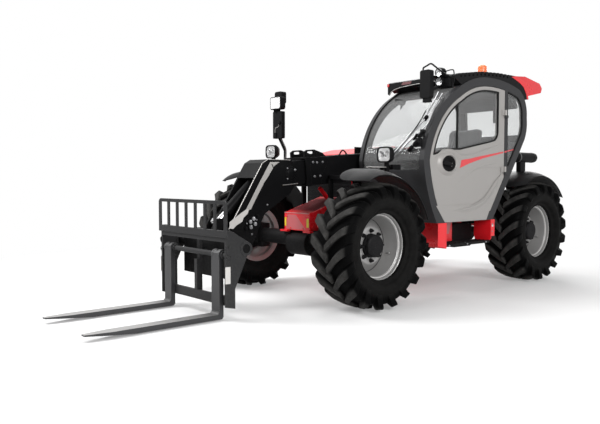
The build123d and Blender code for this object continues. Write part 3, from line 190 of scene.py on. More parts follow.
class Shader:
    """One material under construction."""

    def __init__(self, name: str) -> None:
        """Start an empty material.

        Args:
            name: the material's name.
        """
        self.material = bpy.data.materials.new(name)
        self.material.use_nodes = True
        self.tree = self.material.node_tree
        self.tree.nodes.clear()
        self._place: Optional[bpy.types.NodeSocket] = None

    def node(self, kind: str, settings: Optional[dict[str, Any]]=None, sockets: Optional[dict[Any,
            Any]]=None) -> bpy.types.Node:
        """Add a node.

        Args:
            kind: Blender's node type.
            settings: properties set first; "stops" fills a colour ramp.
            sockets: values or links for inputs, by name or index.

        Returns:
            The node.
        """
        made = self.tree.nodes.new(kind)
        for key, value in (settings or {}).items():
            if key == "stops":
                ramp = made.color_ramp
                while len(ramp.elements) < len(value):
                    ramp.elements.new(0.5)
                for element, (place, colour) in zip(ramp.elements, value):
                    element.position = place
                    element.color = (*colour, 1.0)
            else:
                setattr(made, key, value)
        for key, value in (sockets or {}).items():
            target = made.inputs[key]
            if isinstance(value, Signal):
                value = value.socket
            if isinstance(value, bpy.types.NodeSocket):
                self.tree.links.new(value, target)
            elif isinstance(value, (tuple, list)) and len(value) == 3 and (target.type == "RGBA"):
                target.default_value = (*value, 1.0)
            else:
                target.default_value = value
        return made

    @property
    def place(self) -> bpy.types.NodeSocket:
        """Return the object-space position."""
        if self._place is None:
            self._place = self.node("ShaderNodeTexCoord").outputs["Object"]
        return self._place

    def axis(self, letter: str) -> Signal:
        """Return one coordinate of the object-space position."""
        return Signal(self, self.node("ShaderNodeSeparateXYZ", None, {0: self.place}).outputs[letter])

    def stretched(self, scale: Point) -> bpy.types.NodeSocket:
        """Return the position scaled along each axis."""
        made = self.node("ShaderNodeVectorMath", {"operation": "MULTIPLY"}, {0: self.place, 1: scale})
        return made.outputs[0]

    def noise(self, scale: float, detail: float = 3.0, rough: float = 0.55,
            at: Optional[bpy.types.NodeSocket] = None) -> Signal:
        """Add fractal noise.

        Args:
            scale: features per metre.
            detail: octaves.
            rough: strength of the finer octaves.
            at: position to read instead of the plain one.

        Returns:
            The noise, from 0 to 1.
        """
        made = self.node("ShaderNodeTexNoise", None, {"Vector": at or self.place, "Scale": scale, "Detail": detail,
            "Roughness": rough})
        return Signal(self, made.outputs[0])

    def cells(self, scale: float, feature: str = "F1") -> Signal:
        """Add a Voronoi distance."""
        made = self.node("ShaderNodeTexVoronoi", {"feature": feature}, {"Vector": self.place, "Scale": scale})
        return Signal(self, made.outputs["Distance"])

    def blend(self, factor: Any, first: Any, second: Any) -> bpy.types.NodeSocket:
        """Mix two colours.

        Args:
            factor: share of the second colour.
            first: a colour or a colour socket.
            second: a colour or a colour socket.

        Returns:
            The mixed colour.
        """
        made = self.node("ShaderNodeMix", {"data_type": "RGBA"}, {"Factor": factor})
        for index, value in ((6, first), (7, second)):
            if isinstance(value, bpy.types.NodeSocket):
                self.tree.links.new(value, made.inputs[index])
            else:
                made.inputs[index].default_value = (*value, 1.0)
        return made.outputs[2]

    def edges(self, radius: float, low: float = 0.02, high: float = 0.25) -> Signal:
        """Return a mask of the sharp edges.

        Args:
            radius: width of the edge band.
            low: bend at which the mask starts.
            high: bend at which it is full.

        Returns:
            1 on the edges and 0 on the flats.
        """
        rounded = self.node("ShaderNodeBevel", {"samples": 4}, {"Radius": radius}).outputs[0]
        plain = self.node("ShaderNodeNewGeometry").outputs["True Normal"]
        dot = self.node("ShaderNodeVectorMath", {"operation": "DOT_PRODUCT"}, {0: rounded, 1: plain})
        return (1 - Signal(self, dot.outputs["Value"])).step(low, high)

    def bump(self, height: Signal, depth: float, strength: float = 1.0,
            base: Optional[bpy.types.NodeSocket] = None) -> bpy.types.NodeSocket:
        """Turn a height into a normal.

        Args:
            height: the height, in units of depth.
            depth: metres that a height of 1 stands.
            strength: share of the effect.
            base: normal to start from.

        Returns:
            The normal.
        """
        sockets: dict[Any, Any] = {"Height": height, "Distance": depth, "Strength": strength}
        if base is not None:
            sockets["Normal"] = base
        return self.node("ShaderNodeBump", None, sockets).outputs[0]

    def rounded(self, radius: float) -> bpy.types.NodeSocket:
        """Return a normal that rounds the sharp edges."""
        return self.node("ShaderNodeBevel", {"samples": 4}, {"Radius": radius}).outputs[0]

    def surface(self, **sockets: Any) -> bpy.types.Node:
        """Add a Principled BSDF; underscores in the names stand for spaces."""
        return self.node("ShaderNodeBsdfPrincipled", None, {key.replace("_", " "): value for key,
            value in sockets.items()})

    def done(self, shader_node: bpy.types.Node) -> bpy.types.Material:
        """Link the last shader to the output and return the material."""
        self.node("ShaderNodeOutputMaterial", None, {"Surface": shader_node.outputs[0]})
        return self.material


# ------------------------------------------------------------------ finishes
@dataclass(frozen=True)
class Paint:
    """Sprayed paint over metal, with soft edges, faint orange peel and some dust."""

    name: str
    colour: Colour
    roughness: float = 0.32
    coat: float = 0.4
    metallic: float = 0.0
    edge_radius: float = 0.003
    edge_colour: Optional[Colour] = None
    edge_share: float = 0.0
    mottle: float = 0.1
    peel: float = 0.00025
    peel_scale: float = 350.0
    dust: float = 0.06
    dust_colour: Colour = (0.22, 0.2, 0.18)
    gloss: float = 0.5

    def make(self) -> bpy.types.Material:
        """Build the material."""
        s = Shader(self.name)
        cloud = s.noise(3.5, 4.0)
        fine = s.noise(60.0, 2.0)
        darker = tuple((c * (1 - self.mottle) for c in self.colour))
        lighter = tuple((min(1.0, c * (1 + self.mottle) + 0.002) for c in self.colour))
        base = s.blend(cloud, darker, lighter)
        low_dust = (1.2 - s.axis("Z")).step(0.0, 1.2) * fine.step(0.35, 0.75) * self.dust
        base = s.blend(low_dust, base, self.dust_colour)
        if self.edge_colour is not None:
            lightened = s.edges(self.edge_radius * 1.5) * fine.step(0.3, 0.7) * self.edge_share
            base = s.blend(lightened, base, self.edge_colour)
        height = s.noise(self.peel_scale, 1.0)
        normal = s.bump(height, self.peel, 0.6, s.rounded(self.edge_radius))
        rough = self.roughness + (cloud - 0.5) * 0.12 + low_dust * 0.8
        return s.done(s.surface(Base_Color=base, Roughness=rough, Metallic=self.metallic, Coat_Weight=self.coat,
            Coat_Roughness=0.12, Specular_IOR_Level=self.gloss, Normal=normal))


@dataclass(frozen=True)
class Moulded:
    """Grained moulded plastic."""

    name: str
    colour: Colour
    roughness: float = 0.5
    grain: float = 0.0004
    grain_scale: float = 420.0
    edge_radius: float = 0.004
    scuff: float = 0.25
    gloss: float = 0.25

    def make(self) -> bpy.types.Material:
        """Build the material."""
        s = Shader(self.name)
        scuffed = s.noise(9.0, 5.0, 0.7).step(0.52, 0.8) * self.scuff
        pale = tuple((c * 2.2 + 0.01 for c in self.colour))
        base = s.blend(scuffed, self.colour, pale)
        normal = s.bump(s.cells(self.grain_scale), self.grain, 0.5, s.rounded(self.edge_radius))
        return s.done(s.surface(Base_Color=base, Roughness=self.roughness + scuffed * 0.25,
            Specular_IOR_Level=self.gloss, Normal=normal))


@dataclass(frozen=True)
class TyreRubber:
    """Black rubber with fine mould lines on the walls; the lug tops, and a little the lower walls, are lighter, a
    painted highlight varied by dust, and the edges carry a painted highlight.
    """

    name: str = "tyre_rubber"
    colour: Colour = (0.0018, 0.0018, 0.0019)
    lightened: Colour = (0.055, 0.0535, 0.0515)
    hub_x: float = 0.0
    hub_z: float = 0.605

    def make(self) -> bpy.types.Material:
        """Build the material."""
        s = Shader(self.name)
        away = s.node("ShaderNodeVectorMath", {"operation": "SUBTRACT"},
            {0: s.place, 1: (self.hub_x, 0.0, self.hub_z)}).outputs[0]
        flat = s.node("ShaderNodeVectorMath", {"operation": "MULTIPLY"}, {0: away, 1: (1.0, 0.0, 1.0)}).outputs[0]
        radius = Signal(s, s.node("ShaderNodeVectorMath", {"operation": "LENGTH"}, {0: flat}).outputs["Value"])
        tread = radius.step(0.56, 0.59)
        wall = (1 - radius.step(0.44, 0.5)) * 0.18
        dusty = s.noise(14.0, 5.0, 0.65).step(0.3, 0.75)
        # The lug tops, and a little the lower walls, are lightened: a painted highlight whose strength the dust noise
        # varies.
        base = s.blend((0.45 + 0.5 * dusty) * (tread + wall).least(1.0), self.colour, self.lightened)
        # Painted highlight along the edges, stronger on the tread.
        edge = s.edges(0.006, 0.03, 0.3)
        base = s.blend(edge * (0.15 + 0.35 * tread), base, (0.07, 0.068, 0.065))
        lines = (radius * 900.0).wave() * (1 - tread) * radius.step(0.36, 0.38)
        height = lines * 0.18 + s.noise(160.0, 3.0) * 0.8
        normal = s.bump(height, 0.0006, 0.6, s.rounded(0.004))
        return s.done(s.surface(Base_Color=base, Roughness=0.52 + dusty * 0.2, Specular_IOR_Level=0.03,
            Normal=normal))


@dataclass(frozen=True)
class Metal:
    """Bare, plated or brushed metal."""

    name: str
    colour: Colour = (0.62, 0.62, 0.63)
    roughness: float = 0.16
    streak: float = 0.1
    stretch: Point = (1.0, 1.0, 1.0)
    edge_radius: float = 0.0015

    def make(self) -> bpy.types.Material:
        """Build the material."""
        s = Shader(self.name)
        brushed = s.noise(180.0, 3.0, 0.6, s.stretched(self.stretch))
        base = s.blend(brushed * 0.3, self.colour, tuple((c * 0.7 for c in self.colour)))
        normal = s.bump(brushed, 8e-05, 0.5, s.rounded(self.edge_radius))
        return s.done(s.surface(Base_Color=base, Metallic=1.0, Roughness=self.roughness + brushed * self.streak,
            Normal=normal))


@dataclass(frozen=True)
class Glass:
    """Clear or tinted sheet glass, with reflections that grow at a slant."""

    name: str
    tint: Colour = (0.8, 0.83, 0.82)
    body: Colour = (0.02, 0.022, 0.023)
    haze: float = 0.1
    sheen: float = 0.55

    def make(self) -> bpy.types.Material:
        """Build the material."""
        s = Shader(self.name)
        facing = Signal(s, s.node("ShaderNodeLayerWeight", None, {"Blend": 0.35}).outputs["Fresnel"])
        smear = s.noise(5.0, 4.0, 0.7).step(0.4, 0.9)
        share = (self.haze + facing * self.sheen + smear * 0.03).least(0.95)
        clear = s.node("ShaderNodeBsdfTransparent", None, {"Color": self.tint})
        solid = s.surface(Base_Color=self.body, Roughness=0.03 + smear * 0.05, Specular_IOR_Level=0.35)
        mixed = s.node("ShaderNodeMixShader", None, {0: share, 1: clear.outputs[0], 2: solid.outputs[0]})
        return s.done(mixed)


@dataclass(frozen=True)
class Lens:
    """A clear or coloured lamp lens, ribbed on the inside."""

    name: str
    colour: Colour
    roughness: float = 0.12
    glow: float = 0.0
    rib: float = 0.0
    rib_pitch: float = 0.006

    def make(self) -> bpy.types.Material:
        """Build the material."""
        s = Shader(self.name)
        ribs = (s.axis("Z") * (FULL_TURN / self.rib_pitch)).wave() * (s.axis("Y")
            * (FULL_TURN / self.rib_pitch)).wave()
        cloud = s.noise(40.0, 2.0)
        base = s.blend(cloud * 0.4, self.colour, tuple((c * 0.6 for c in self.colour)))
        normal = s.bump(ribs, self.rib, 0.7, s.rounded(0.002))
        return s.done(s.surface(Base_Color=base, Roughness=self.roughness + cloud * 0.05, Normal=normal,
            Emission_Color=base, Emission_Strength=self.glow, Coat_Weight=0.6))


@dataclass(frozen=True)
class Cloth:
    """Woven seat cloth."""

    name: str = "seat_cloth"
    colour: Colour = (0.035, 0.035, 0.038)

    def make(self) -> bpy.types.Material:
        """Build the material."""
        s = Shader(self.name)
        weave = (s.axis("X") * 2600.0).wave() * (s.axis("Y") * 2600.0).wave() + (s.axis("Z") * 2600.0).wave() * 0.5
        fluff = s.noise(90.0, 4.0)
        base = s.blend(fluff, self.colour, tuple((c * 2.0 for c in self.colour)))
        normal = s.bump(weave + fluff * 0.6, 0.0006, 0.8)
        return s.done(s.surface(Base_Color=base, Roughness=0.85 + fluff * 0.1, Sheen_Weight=0.3, Normal=normal))


@dataclass(frozen=True)
class ForkSteel:
    """Black painted fork blades whose upper faces are scraped to bare steel."""

    name: str = "fork_steel"
    paint: Colour = (0.025, 0.025, 0.027)
    steel: Colour = (0.34, 0.335, 0.33)
    heel_x: float = 1.9

    def make(self) -> bpy.types.Material:
        """Build the material."""
        s = Shader(self.name)
        up = Signal(s,
            s.node("ShaderNodeSeparateXYZ", None,
            {0: s.node("ShaderNodeNewGeometry").outputs["Normal"]}).outputs["Z"])
        scrape = s.noise(26.0, 6.0, 0.75, s.stretched((0.25, 1.6, 1.0)))
        along = s.axis("X").step(self.heel_x, self.heel_x + 0.35)
        top = up.step(0.5, 0.9) * along * scrape.step(0.22, 0.5)
        edge = s.edges(0.004) * scrape.step(0.3, 0.6) * 0.8
        bare = top.most(edge)
        base = s.blend(bare, self.paint, self.steel)
        normal = s.bump(scrape, 0.0004, 0.5, s.rounded(0.003))
        return s.done(s.surface(Base_Color=base, Roughness=0.42 + scrape * 0.15, Metallic=bare * 0.75,
            Normal=normal))


@dataclass(frozen=True)
class GripDeck:
    """Red paint under a dark, gritty anti-slip coat that thins out at its borders."""

    name: str = "grip_deck"
    paint: Colour = (0.55, 0.006, 0.01)
    grit: Colour = (0.06, 0.006, 0.008)
    centre_x: float = 0.25
    reach: float = 0.26

    def make(self) -> bpy.types.Material:
        """Build the material."""
        s = Shader(self.name)
        middle = (s.axis("X") - self.centre_x).absolute()
        grain = s.noise(210.0, 3.0, 0.7)
        cover = (1 - middle.step(self.reach * 0.55, self.reach)) * (0.55 + grain * 0.9).least(1.0)
        base = s.blend(cover, self.paint, self.grit)
        normal = s.bump(grain * cover, 0.0018, 0.9, s.rounded(0.003))
        return s.done(s.surface(Base_Color=base, Roughness=0.3 + cover * 0.5, Specular_IOR_Level=0.12,
            Normal=normal))


class Palette:
    """Every finish, built once and looked up by the record's slot or by name."""

    RED: Colour = (0.78, 0.01, 0.018)

    def __init__(self) -> None:
        """Build all the materials."""
        finishes = (
            Paint("red_paint", self.RED, roughness=0.28, coat=0.25, mottle=0.05, gloss=0.3),
            Paint("black_paint", (0.0045, 0.0045, 0.0050), roughness=0.36, coat=0.02,
                  edge_colour=(0.10, 0.10, 0.10), edge_share=0.30, gloss=0.05),
            Paint("fork_grey", (0.032, 0.032, 0.033), roughness=0.42, coat=0.0,
                  edge_colour=(0.22, 0.22, 0.22), edge_share=0.5, gloss=0.06),
            Paint("cab_grey", (0.036, 0.036, 0.038), roughness=0.45, coat=0.0, gloss=0.10),
            Paint("door_grey", (0.315, 0.302, 0.290), roughness=0.38, coat=0.10, mottle=0.03, metallic=0.15),
            Paint("rim_silver", (0.34, 0.336, 0.332), roughness=0.36, coat=0.1, metallic=0.45,
                  mottle=0.05, edge_radius=0.002),
            # A much lighter silver for the rim beads: a painted highlight on the rim's steps.
            Paint("bead_silver", (0.66, 0.65, 0.64), roughness=0.35, coat=0.2, metallic=0.2, mottle=0.03, peel=0.0),
            Paint("hub_black", (0.009, 0.009, 0.010), roughness=0.42, coat=0.0,
                  edge_colour=(0.1, 0.1, 0.1), edge_share=0.3, gloss=0.06),
            Paint("steel_dark", (0.007, 0.007, 0.0075), roughness=0.5, coat=0.0, peel=0.0012,
                  peel_scale=120.0, dust=0.05, gloss=0.05),
            Moulded("black_plastic", (0.0065, 0.0065, 0.0070), gloss=0.06),
            Metal("chrome_rod", (0.72, 0.72, 0.73), 0.08, 0.05),
            Metal("steel_bright", (0.30, 0.30, 0.31), 0.30, 0.15),
            Metal("tube_steel", (0.42, 0.42, 0.43), 0.28, 0.15),
            Glass("tinted_glass", (0.945, 0.950, 0.950), (0.55, 0.55, 0.55), 0.045, 0.14),
            Glass("dark_glass", (0.955, 0.960, 0.960), (0.60, 0.60, 0.60), 0.055, 0.14),
            Glass("lamp_glass", (0.95, 0.95, 0.95), (0.55, 0.55, 0.56), 0.06, 0.35),
            Glass("display_glass", (0.05, 0.06, 0.07), (0.01, 0.012, 0.014), 0.6, 0.3),
            Lens("lamp_white", (0.80, 0.80, 0.80), 0.10, rib=0.0006),
            Lens("lamp_amber", (0.80, 0.22, 0.01), 0.15, rib=0.001),
            Moulded("mast_grey", (0.10, 0.10, 0.10), roughness=0.45),
            Moulded("fender_skin", (0.0085, 0.0085, 0.0090), roughness=0.45, scuff=0.08, gloss=0.08),
            # Light strips along the head's plate edges: a painted highlight.
            Metal("ground_edge", (0.30, 0.29, 0.28), 0.35, 0.15),
            # Light rose for the nose's front edge: a painted highlight.
            Paint("nose_edge", (0.55, 0.16, 0.16), roughness=0.3, coat=0.4, mottle=0.05, peel=0.0),
            Lens("lamp_clear", (0.78, 0.79, 0.80), 0.08, rib=0.0008),
            Metal("mirror_glass", (0.85, 0.86, 0.87), 0.03, 0.01),
            Metal("reflector", (0.88, 0.88, 0.88), 0.10, 0.02),
            Lens("beacon_orange", (0.95, 0.17, 0.03), 0.15, glow=0.25, rib=0.0015, rib_pitch=0.012),
            Lens("lamp_red", (0.55, 0.01, 0.01), 0.15, rib=0.001),
            ForkSteel(heel_x=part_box("forks")[0].x),
            GripDeck(centre_x=FRONT_X - 0.16),
            Paint("decal_silver", (0.42, 0.405, 0.39), roughness=0.35, coat=0.3, mottle=0.03, peel=0.0),
            Paint("decal_white", (0.62, 0.60, 0.58), roughness=0.35, coat=0.3, mottle=0.02, peel=0.0),
            Paint("decal_yellow", (0.72, 0.60, 0.01), roughness=0.4, coat=0.2, mottle=0.03, peel=0.0),
            # A lighter rose red for patches on red faces: a painted highlight.
            Paint("decal_rose", (0.50, 0.075, 0.085), roughness=0.3, coat=0.5, mottle=0.04, peel=0.0),
            Paint("stripe_red", (0.62, 0.02, 0.03), roughness=0.3, coat=0.4, mottle=0.03, peel=0.0),
            Paint("sticker_dark_red", (0.09, 0.006, 0.008), roughness=0.3, peel=0.0),
            Moulded("seal_rubber", (0.006, 0.006, 0.006), roughness=0.6, gloss=0.15),
        )
        self._made = {finish.name: finish.make() for finish in finishes}
        self._made["seat_fabric"] = Cloth().make()
        for end in End:
            hub = centre_of(f"hub_{end.value}_left")
            self._made[f"tyre_{end.value}"] = TyreRubber(f"tyre_rubber_{end.value}", hub_x=hub.x,
                hub_z=hub.z).make()

    def __getitem__(self, name: str) -> bpy.types.Material:
        """Return a finish by name."""
        return self._made[name]


# ------------------------------------------------------------------ mesh tools
class Mesh:
    """Collects vertices and faces for one piece, in the shared frame."""

    def __init__(self) -> None:
        """Start empty."""
        self.points: list[Vector] = []
        self.faces: list[tuple[int, ...]] = []

    def add(self, points: Iterable[Vector], faces: Iterable[Sequence[int]]) -> "Mesh":
        """Add points and the faces between them."""
        start = len(self.points)
        self.points.extend((Vector(p) for p in points))
        self.faces.extend((tuple((start + i for i in face)) for face in faces))
        return self

    def rings(self, rings: Sequence[Sequence[Vector]], closed: bool = True, caps: bool = True,
            looped: bool = False) -> "Mesh":
        """Join rings of equal length by quads.

        Args:
            rings: the rings in order.
            closed: whether each ring closes on itself.
            caps: whether the first and last rings are filled.
            looped: whether the last ring joins the first.

        Returns:
            This mesh.
        """
        count = len(rings[0])
        faces: list[tuple[int, ...]] = []
        spans = len(rings) if looped else len(rings) - 1
        for r in range(spans):
            nxt = (r + 1) % len(rings)
            for i in range(count if closed else count - 1):
                j = (i + 1) % count
                faces.append((r * count + i, r * count + j, nxt * count + j, nxt * count + i))
        if caps and closed and (not looped):
            faces.append(tuple(reversed(range(count))))
            faces.append(tuple(((len(rings) - 1) * count + i for i in range(count))))
        return self.add([p for ring in rings for p in ring], faces)

    def revolve(self, profile: Sequence[Flat], centre: Vector, axis: Vector, segments: int = 96,
            looped: bool = True) -> "Mesh":
        """Turn a profile about an axis.

        Args:
            profile: pairs of distance along the axis and radius.
            centre: a point on the axis.
            axis: direction of the axis.
            segments: faces round the turn.
            looped: whether the profile closes on itself.

        Returns:
            This mesh.
        """
        axis = axis.normalized()
        across = axis.orthogonal().normalized()
        other = axis.cross(across)
        turned = []
        for k in range(segments):
            angle = FULL_TURN * k / segments
            out = across * math.cos(angle) + other * math.sin(angle)
            turned.append([centre + axis * along + out * radius for along, radius in profile])
        return self.rings(turned, closed=looped, caps=False, looped=True)

    def box(self, low: Sequence[float], high: Sequence[float]) -> "Mesh":
        """Add a box between two corners."""
        (x0, y0, z0), (x1, y1, z1) = (low, high)
        points = [Vector(p) for p in ((x0, y0, z0), (x1, y0, z0), (x1, y1, z0), (x0, y1, z0), (x0, y0, z1),
            (x1, y0, z1), (x1, y1, z1), (x0, y1, z1))]
        return self.add(points, ((3, 2, 1, 0), (4, 5, 6, 7), (0, 1, 5, 4), (1, 2, 6, 5), (2, 3, 7, 6),
            (3, 0, 4, 7)))

    def prism(self, outline: Sequence[Vector], depth: Vector) -> "Mesh":
        """Push a flat outline along a vector."""
        return self.rings([list(outline), [p + depth for p in outline]])

    def front_plate(self, x: float, outline: Iterable[Flat], thick: float) -> "Mesh":
        """Add a plate that looks ahead, from pairs of Y and height, so far ahead of the front axle."""
        return self.prism([ahead(x, y, z) for y, z in outline], Vector((thick, 0, 0)))

    def tube(self, path: Sequence[Vector], radius: float, segments: int = 12, caps: bool = True) -> "Mesh":
        """Sweep a circle along a path.

        Args:
            path: points of the centre line.
            radius: radius of the tube.
            segments: faces round it.
            caps: whether the ends are filled.

        Returns:
            This mesh.
        """
        rings = []
        normal = (path[1] - path[0]).normalized().orthogonal().normalized()
        for i, point in enumerate(path):
            before = path[max(i - 1, 0)]
            after = path[min(i + 1, len(path) - 1)]
            along = (after - before).normalized()
            normal = (normal - along * normal.dot(along)).normalized()
            other = along.cross(normal)
            rings.append([point + (normal * math.cos(FULL_TURN * k / segments) + other
                * math.sin(FULL_TURN * k / segments)) * radius for k in range(segments)])
        return self.rings(rings, caps=caps)

    def cylinder(self, start: Vector, end: Vector, radius: float, segments: int = 32, chamfer: float = 0.0) -> "Mesh":
        """Add a round bar with chamfered ends."""
        length = (end - start).length
        profile = [(0.0, 1e-5), (0.0, radius - chamfer), (chamfer, radius), (length - chamfer, radius),
            (length, radius - chamfer), (length, 1e-5)]
        return self.revolve(profile, start, end - start, segments)

    def hex_bolt(self, base: Vector, axis: Vector, across: float, height: float) -> "Mesh":
        """Add a six-sided head on a round washer."""
        axis = axis.normalized()
        self.cylinder(base, base + axis * (height * 0.25), across * 0.68, 20, height * 0.06)
        side = axis.orthogonal().normalized()
        other = axis.cross(side)

        def ring(up: float, size: float) -> list[Vector]:
            """Return one six-sided ring."""
            return [base + axis * up + (side * math.cos(k * math.pi / 3) + other * math.sin(k * math.pi / 3))
                * size for k in range(6)]
        radius = across / 2 / math.cos(math.pi / 6)
        return self.rings([ring(height * 0.25, radius), ring(height * 0.85, radius), ring(height, radius * 0.82)])


def smooth_path(points: Sequence[Vector], steps: int = 8) -> list[Vector]:
    """Run a smooth curve through points.

    Args:
        points: points that the curve passes.
        steps: pieces between two points.

    Returns:
        Points along the curve.
    """
    run: list[Vector] = []
    for i in range(len(points) - 1):
        p0 = points[max(i - 1, 0)]
        p1, p2 = (points[i], points[i + 1])
        p3 = points[min(i + 2, len(points) - 1)]
        for k in range(steps):
            t = k / steps
            run.append((2 * p1 + (p2 - p0) * t + (2 * p0 - 5 * p1 + 4 * p2 - p3) * t ** 2
                + (3 * p1 - p0 - 3 * p2 + p3) * t ** 3) * 0.5)
    run.append(points[-1].copy())
    return run


def rounded_outline(points: Sequence[Flat], radius: float, steps: int = 5) -> list[Flat]:
    """Round the corners of a flat outline.

    Args:
        points: the corners in order.
        radius: corner radius.
        steps: segments in each corner.

    Returns:
        The rounded outline.
    """
    out: list[Flat] = []
    count = len(points)
    for i in range(count):
        here = Vector(points[i])
        back = Vector(points[i - 1]) - here
        forth = Vector(points[(i + 1) % count]) - here
        half = back.angle(forth) / 2
        cut = min(radius / math.tan(half), back.length * 0.49, forth.length * 0.49)
        start = here + back.normalized() * cut
        end = here + forth.normalized() * cut
        for k in range(steps + 1):
            t = k / steps
            mixed = start * (1 - t) ** 2 + here * 2 * t * (1 - t) + end * t ** 2
            out.append((mixed.x, mixed.y))
    return out


def rounded_box(low: Flat, high: Flat, radius: float, steps: int = 5) -> list[Flat]:
    """Return a rounded outline between two opposite corners."""
    return rounded_outline([low, (high[0], low[1]), high, (low[0], high[1])], radius, steps)


class Workshop:
    """Turns meshes into pieces that ride on the right body with the right finish."""

    def __init__(self, palette: Palette) -> None:
        """Keep the finishes."""
        self.palette = palette
        self.count = 0

    def piece(self, name: str, mesh: Mesh, finish: str, slot: str = "", body: str = "chassis", bevel: float = 0.0,
              bevel_steps: int = 2, replaces: Sequence[str] = ()) -> bpy.types.Object:
        """Make one piece.

        Args:
            name: the piece's name.
            mesh: its faces.
            finish: its finish in the palette.
            slot: the record's material slot, where it isn't named as the finish is; not used.
            body: the body that it rides on.
            bevel: width of the rounded edges, in metres.
            bevel_steps: faces across a rounded edge.
            replaces: frame nodes that it stands for.

        Returns:
            The piece's object.
        """
        data = bpy.data.meshes.new(name)
        data.from_pydata([tuple(p) for p in mesh.points], [], mesh.faces)
        data.validate()
        tidy = bmesh.new()
        tidy.from_mesh(data)
        bmesh.ops.remove_doubles(tidy, verts=tidy.verts, dist=2e-06)
        bmesh.ops.recalc_face_normals(tidy, faces=tidy.faces)
        tidy.to_mesh(data)
        tidy.free()
        made = bpy.data.objects.new(name, data)
        bpy.context.scene.collection.objects.link(made)
        if bevel:
            edge = made.modifiers.new("rounded_edges", "BEVEL")
            edge.width = bevel
            edge.segments = bevel_steps
            edge.limit_method = "ANGLE"
            edge.angle_limit = math.radians(35)
        for polygon in data.polygons:
            polygon.use_smooth = True
        data.set_sharp_from_angle(angle=math.radians(38))
        data.materials.append(self.palette[finish])
        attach(made, body)
        if replaces:
            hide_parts(*replaces)
        self.count += 1
        LOG.info("piece %s on %s", name, body)
        return made

    def dress(self, node: str, finish: str) -> None:
        """Give a frame node one of the finishes."""
        target = frame["nodes"][node]
        target.data.materials.clear()
        target.data.materials.append(self.palette[finish])
        target.data.set_sharp_from_angle(angle=math.radians(30))


# ------------------------------------------------------------------ wheels
@dataclass
class Tyre:
    """A farm tyre: a round carcass with swept lugs that meet in a chevron."""

    radius: float = 0.605
    half_width: float = 0.235
    lug_height: float = 0.046
    lugs_a_side: int = 18
    lug_half_top: float = 0.021
    lug_draft: float = 0.011
    sweep: float = 0.4
    bead_radius: float = 0.318
    stations: int = 16
    wall_lines: tuple[float, ...] = (0.372, 0.392, 0.41)

    def carcass(self) -> list[Flat]:
        """Return the outer wall from the crown to the bead, as pairs of half width and radius."""
        base = self.radius - self.lug_height
        return [(0.0, base), (0.08, base - 0.003), (0.15, base - 0.012), (0.188, base - 0.03),
            (0.205, base - 0.062), (0.214, base - 0.105), (0.22, base - 0.14), (0.216, base - 0.172),
            (0.2, base - 0.198), (0.178, base - 0.212), (0.17, self.bead_radius)]

    def tops(self) -> list[Flat]:
        """Return the line that the lugs' tops follow, from past the middle to the wall."""
        high = self.radius - 0.0006
        return [(-0.012, high), (0.06, high - 0.001), (0.12, high - 0.005), (0.17, high - 0.012),
            (0.205, high - 0.021), (0.225, high - 0.033), (0.2335, high - 0.052), (0.2335, high - 0.085),
            (0.2315, high - 0.118), (0.227, high - 0.142), (0.215, high - 0.158)]

    @staticmethod
    def along(line: Sequence[Flat], share: float) -> Flat:
        """Return a place on a line of half widths and radii, at a share of its length."""
        steps = [math.dist(one, two) for one, two in zip(line, line[1:])]
        left = share * sum(steps)
        for one, two, step in zip(line, line[1:], steps):
            if left <= step:
                return (one[0] + (two[0] - one[0]) * left / step, one[1] + (two[1] - one[1]) * left / step)
            left -= step
        return line[-1]

    def build(self, hub: Vector, turn: float) -> Mesh:
        """Build the whole tyre.

        Args:
            hub: centre of the wheel.
            turn: angle of the first lug.

        Returns:
            The mesh.
        """
        mesh = Mesh()
        wall = self.carcass()
        fine: list[Flat] = []
        run = smooth_path([Vector((w, r, 0)) for w, r in wall], 3)
        for point in run:
            fine.append((point.x, point.y))
        ridge: list[Flat] = []
        for w, r in fine:
            bump = sum((0.0025 * math.exp(-((r - line) / 0.004) ** 2) for line in self.wall_lines))
            ridge.append((w + bump, r))
        profile = [(-w, r) for w, r in reversed(ridge)] + ridge[1:]
        inner = [(0.16, self.bead_radius - 0.004), (0.0, self.bead_radius - 0.004),
            (-0.16, self.bead_radius - 0.004)]
        mesh.revolve(profile + inner, hub, Vector((0, 1, 0)), 120)
        for side in (1, -1):
            for k in range(self.lugs_a_side):
                start = turn + FULL_TURN * (k + (0.5 if side < 0 else 0.0)) / self.lugs_a_side
                self.lug(mesh, hub, side, start)
        return mesh

    def lug(self, mesh: Mesh, hub: Vector, side: int, start: float) -> None:
        """Add one lug.

        Args:
            mesh: mesh to add to.
            hub: centre of the wheel.
            side: 1 or -1, the half of the tread.
            start: angle of its inner end, from straight up towards the front.
        """
        rings = []
        below = [(-0.012, self.radius - self.lug_height - 0.006)] + [(w - 0.006, r - 0.006) for w,
            r in self.carcass()[1:6]]
        for i in range(self.stations + 1):
            t = i / self.stations
            top_w, top_r = self.along(self.tops(), t)
            base_w, base_r = self.along(below, t)
            angle = start - self.sweep * (1 - (1 - min(t * 1.05, 1.0)) ** 1.45)
            half = (self.lug_half_top + 0.01 * min(t / 0.7, 1.0)) * (0.92 if i == 0 else 1.0)
            foot = half + self.lug_draft
            slant = 0.75 + 0.25 * max(0.0, t - 0.6) / 0.4
            ring = []
            for width, radius, sideways in ((base_w, base_r, -foot), (top_w, top_r, -half), (top_w, top_r, half),
                    (base_w, base_r, foot)):
                turn = angle + sideways / slant / max(radius, 0.3)
                ring.append(hub + Vector((math.sin(turn) * radius, side * width, math.cos(turn) * radius)))
            rings.append(ring if side > 0 else ring[::-1])
        mesh.rings(rings)


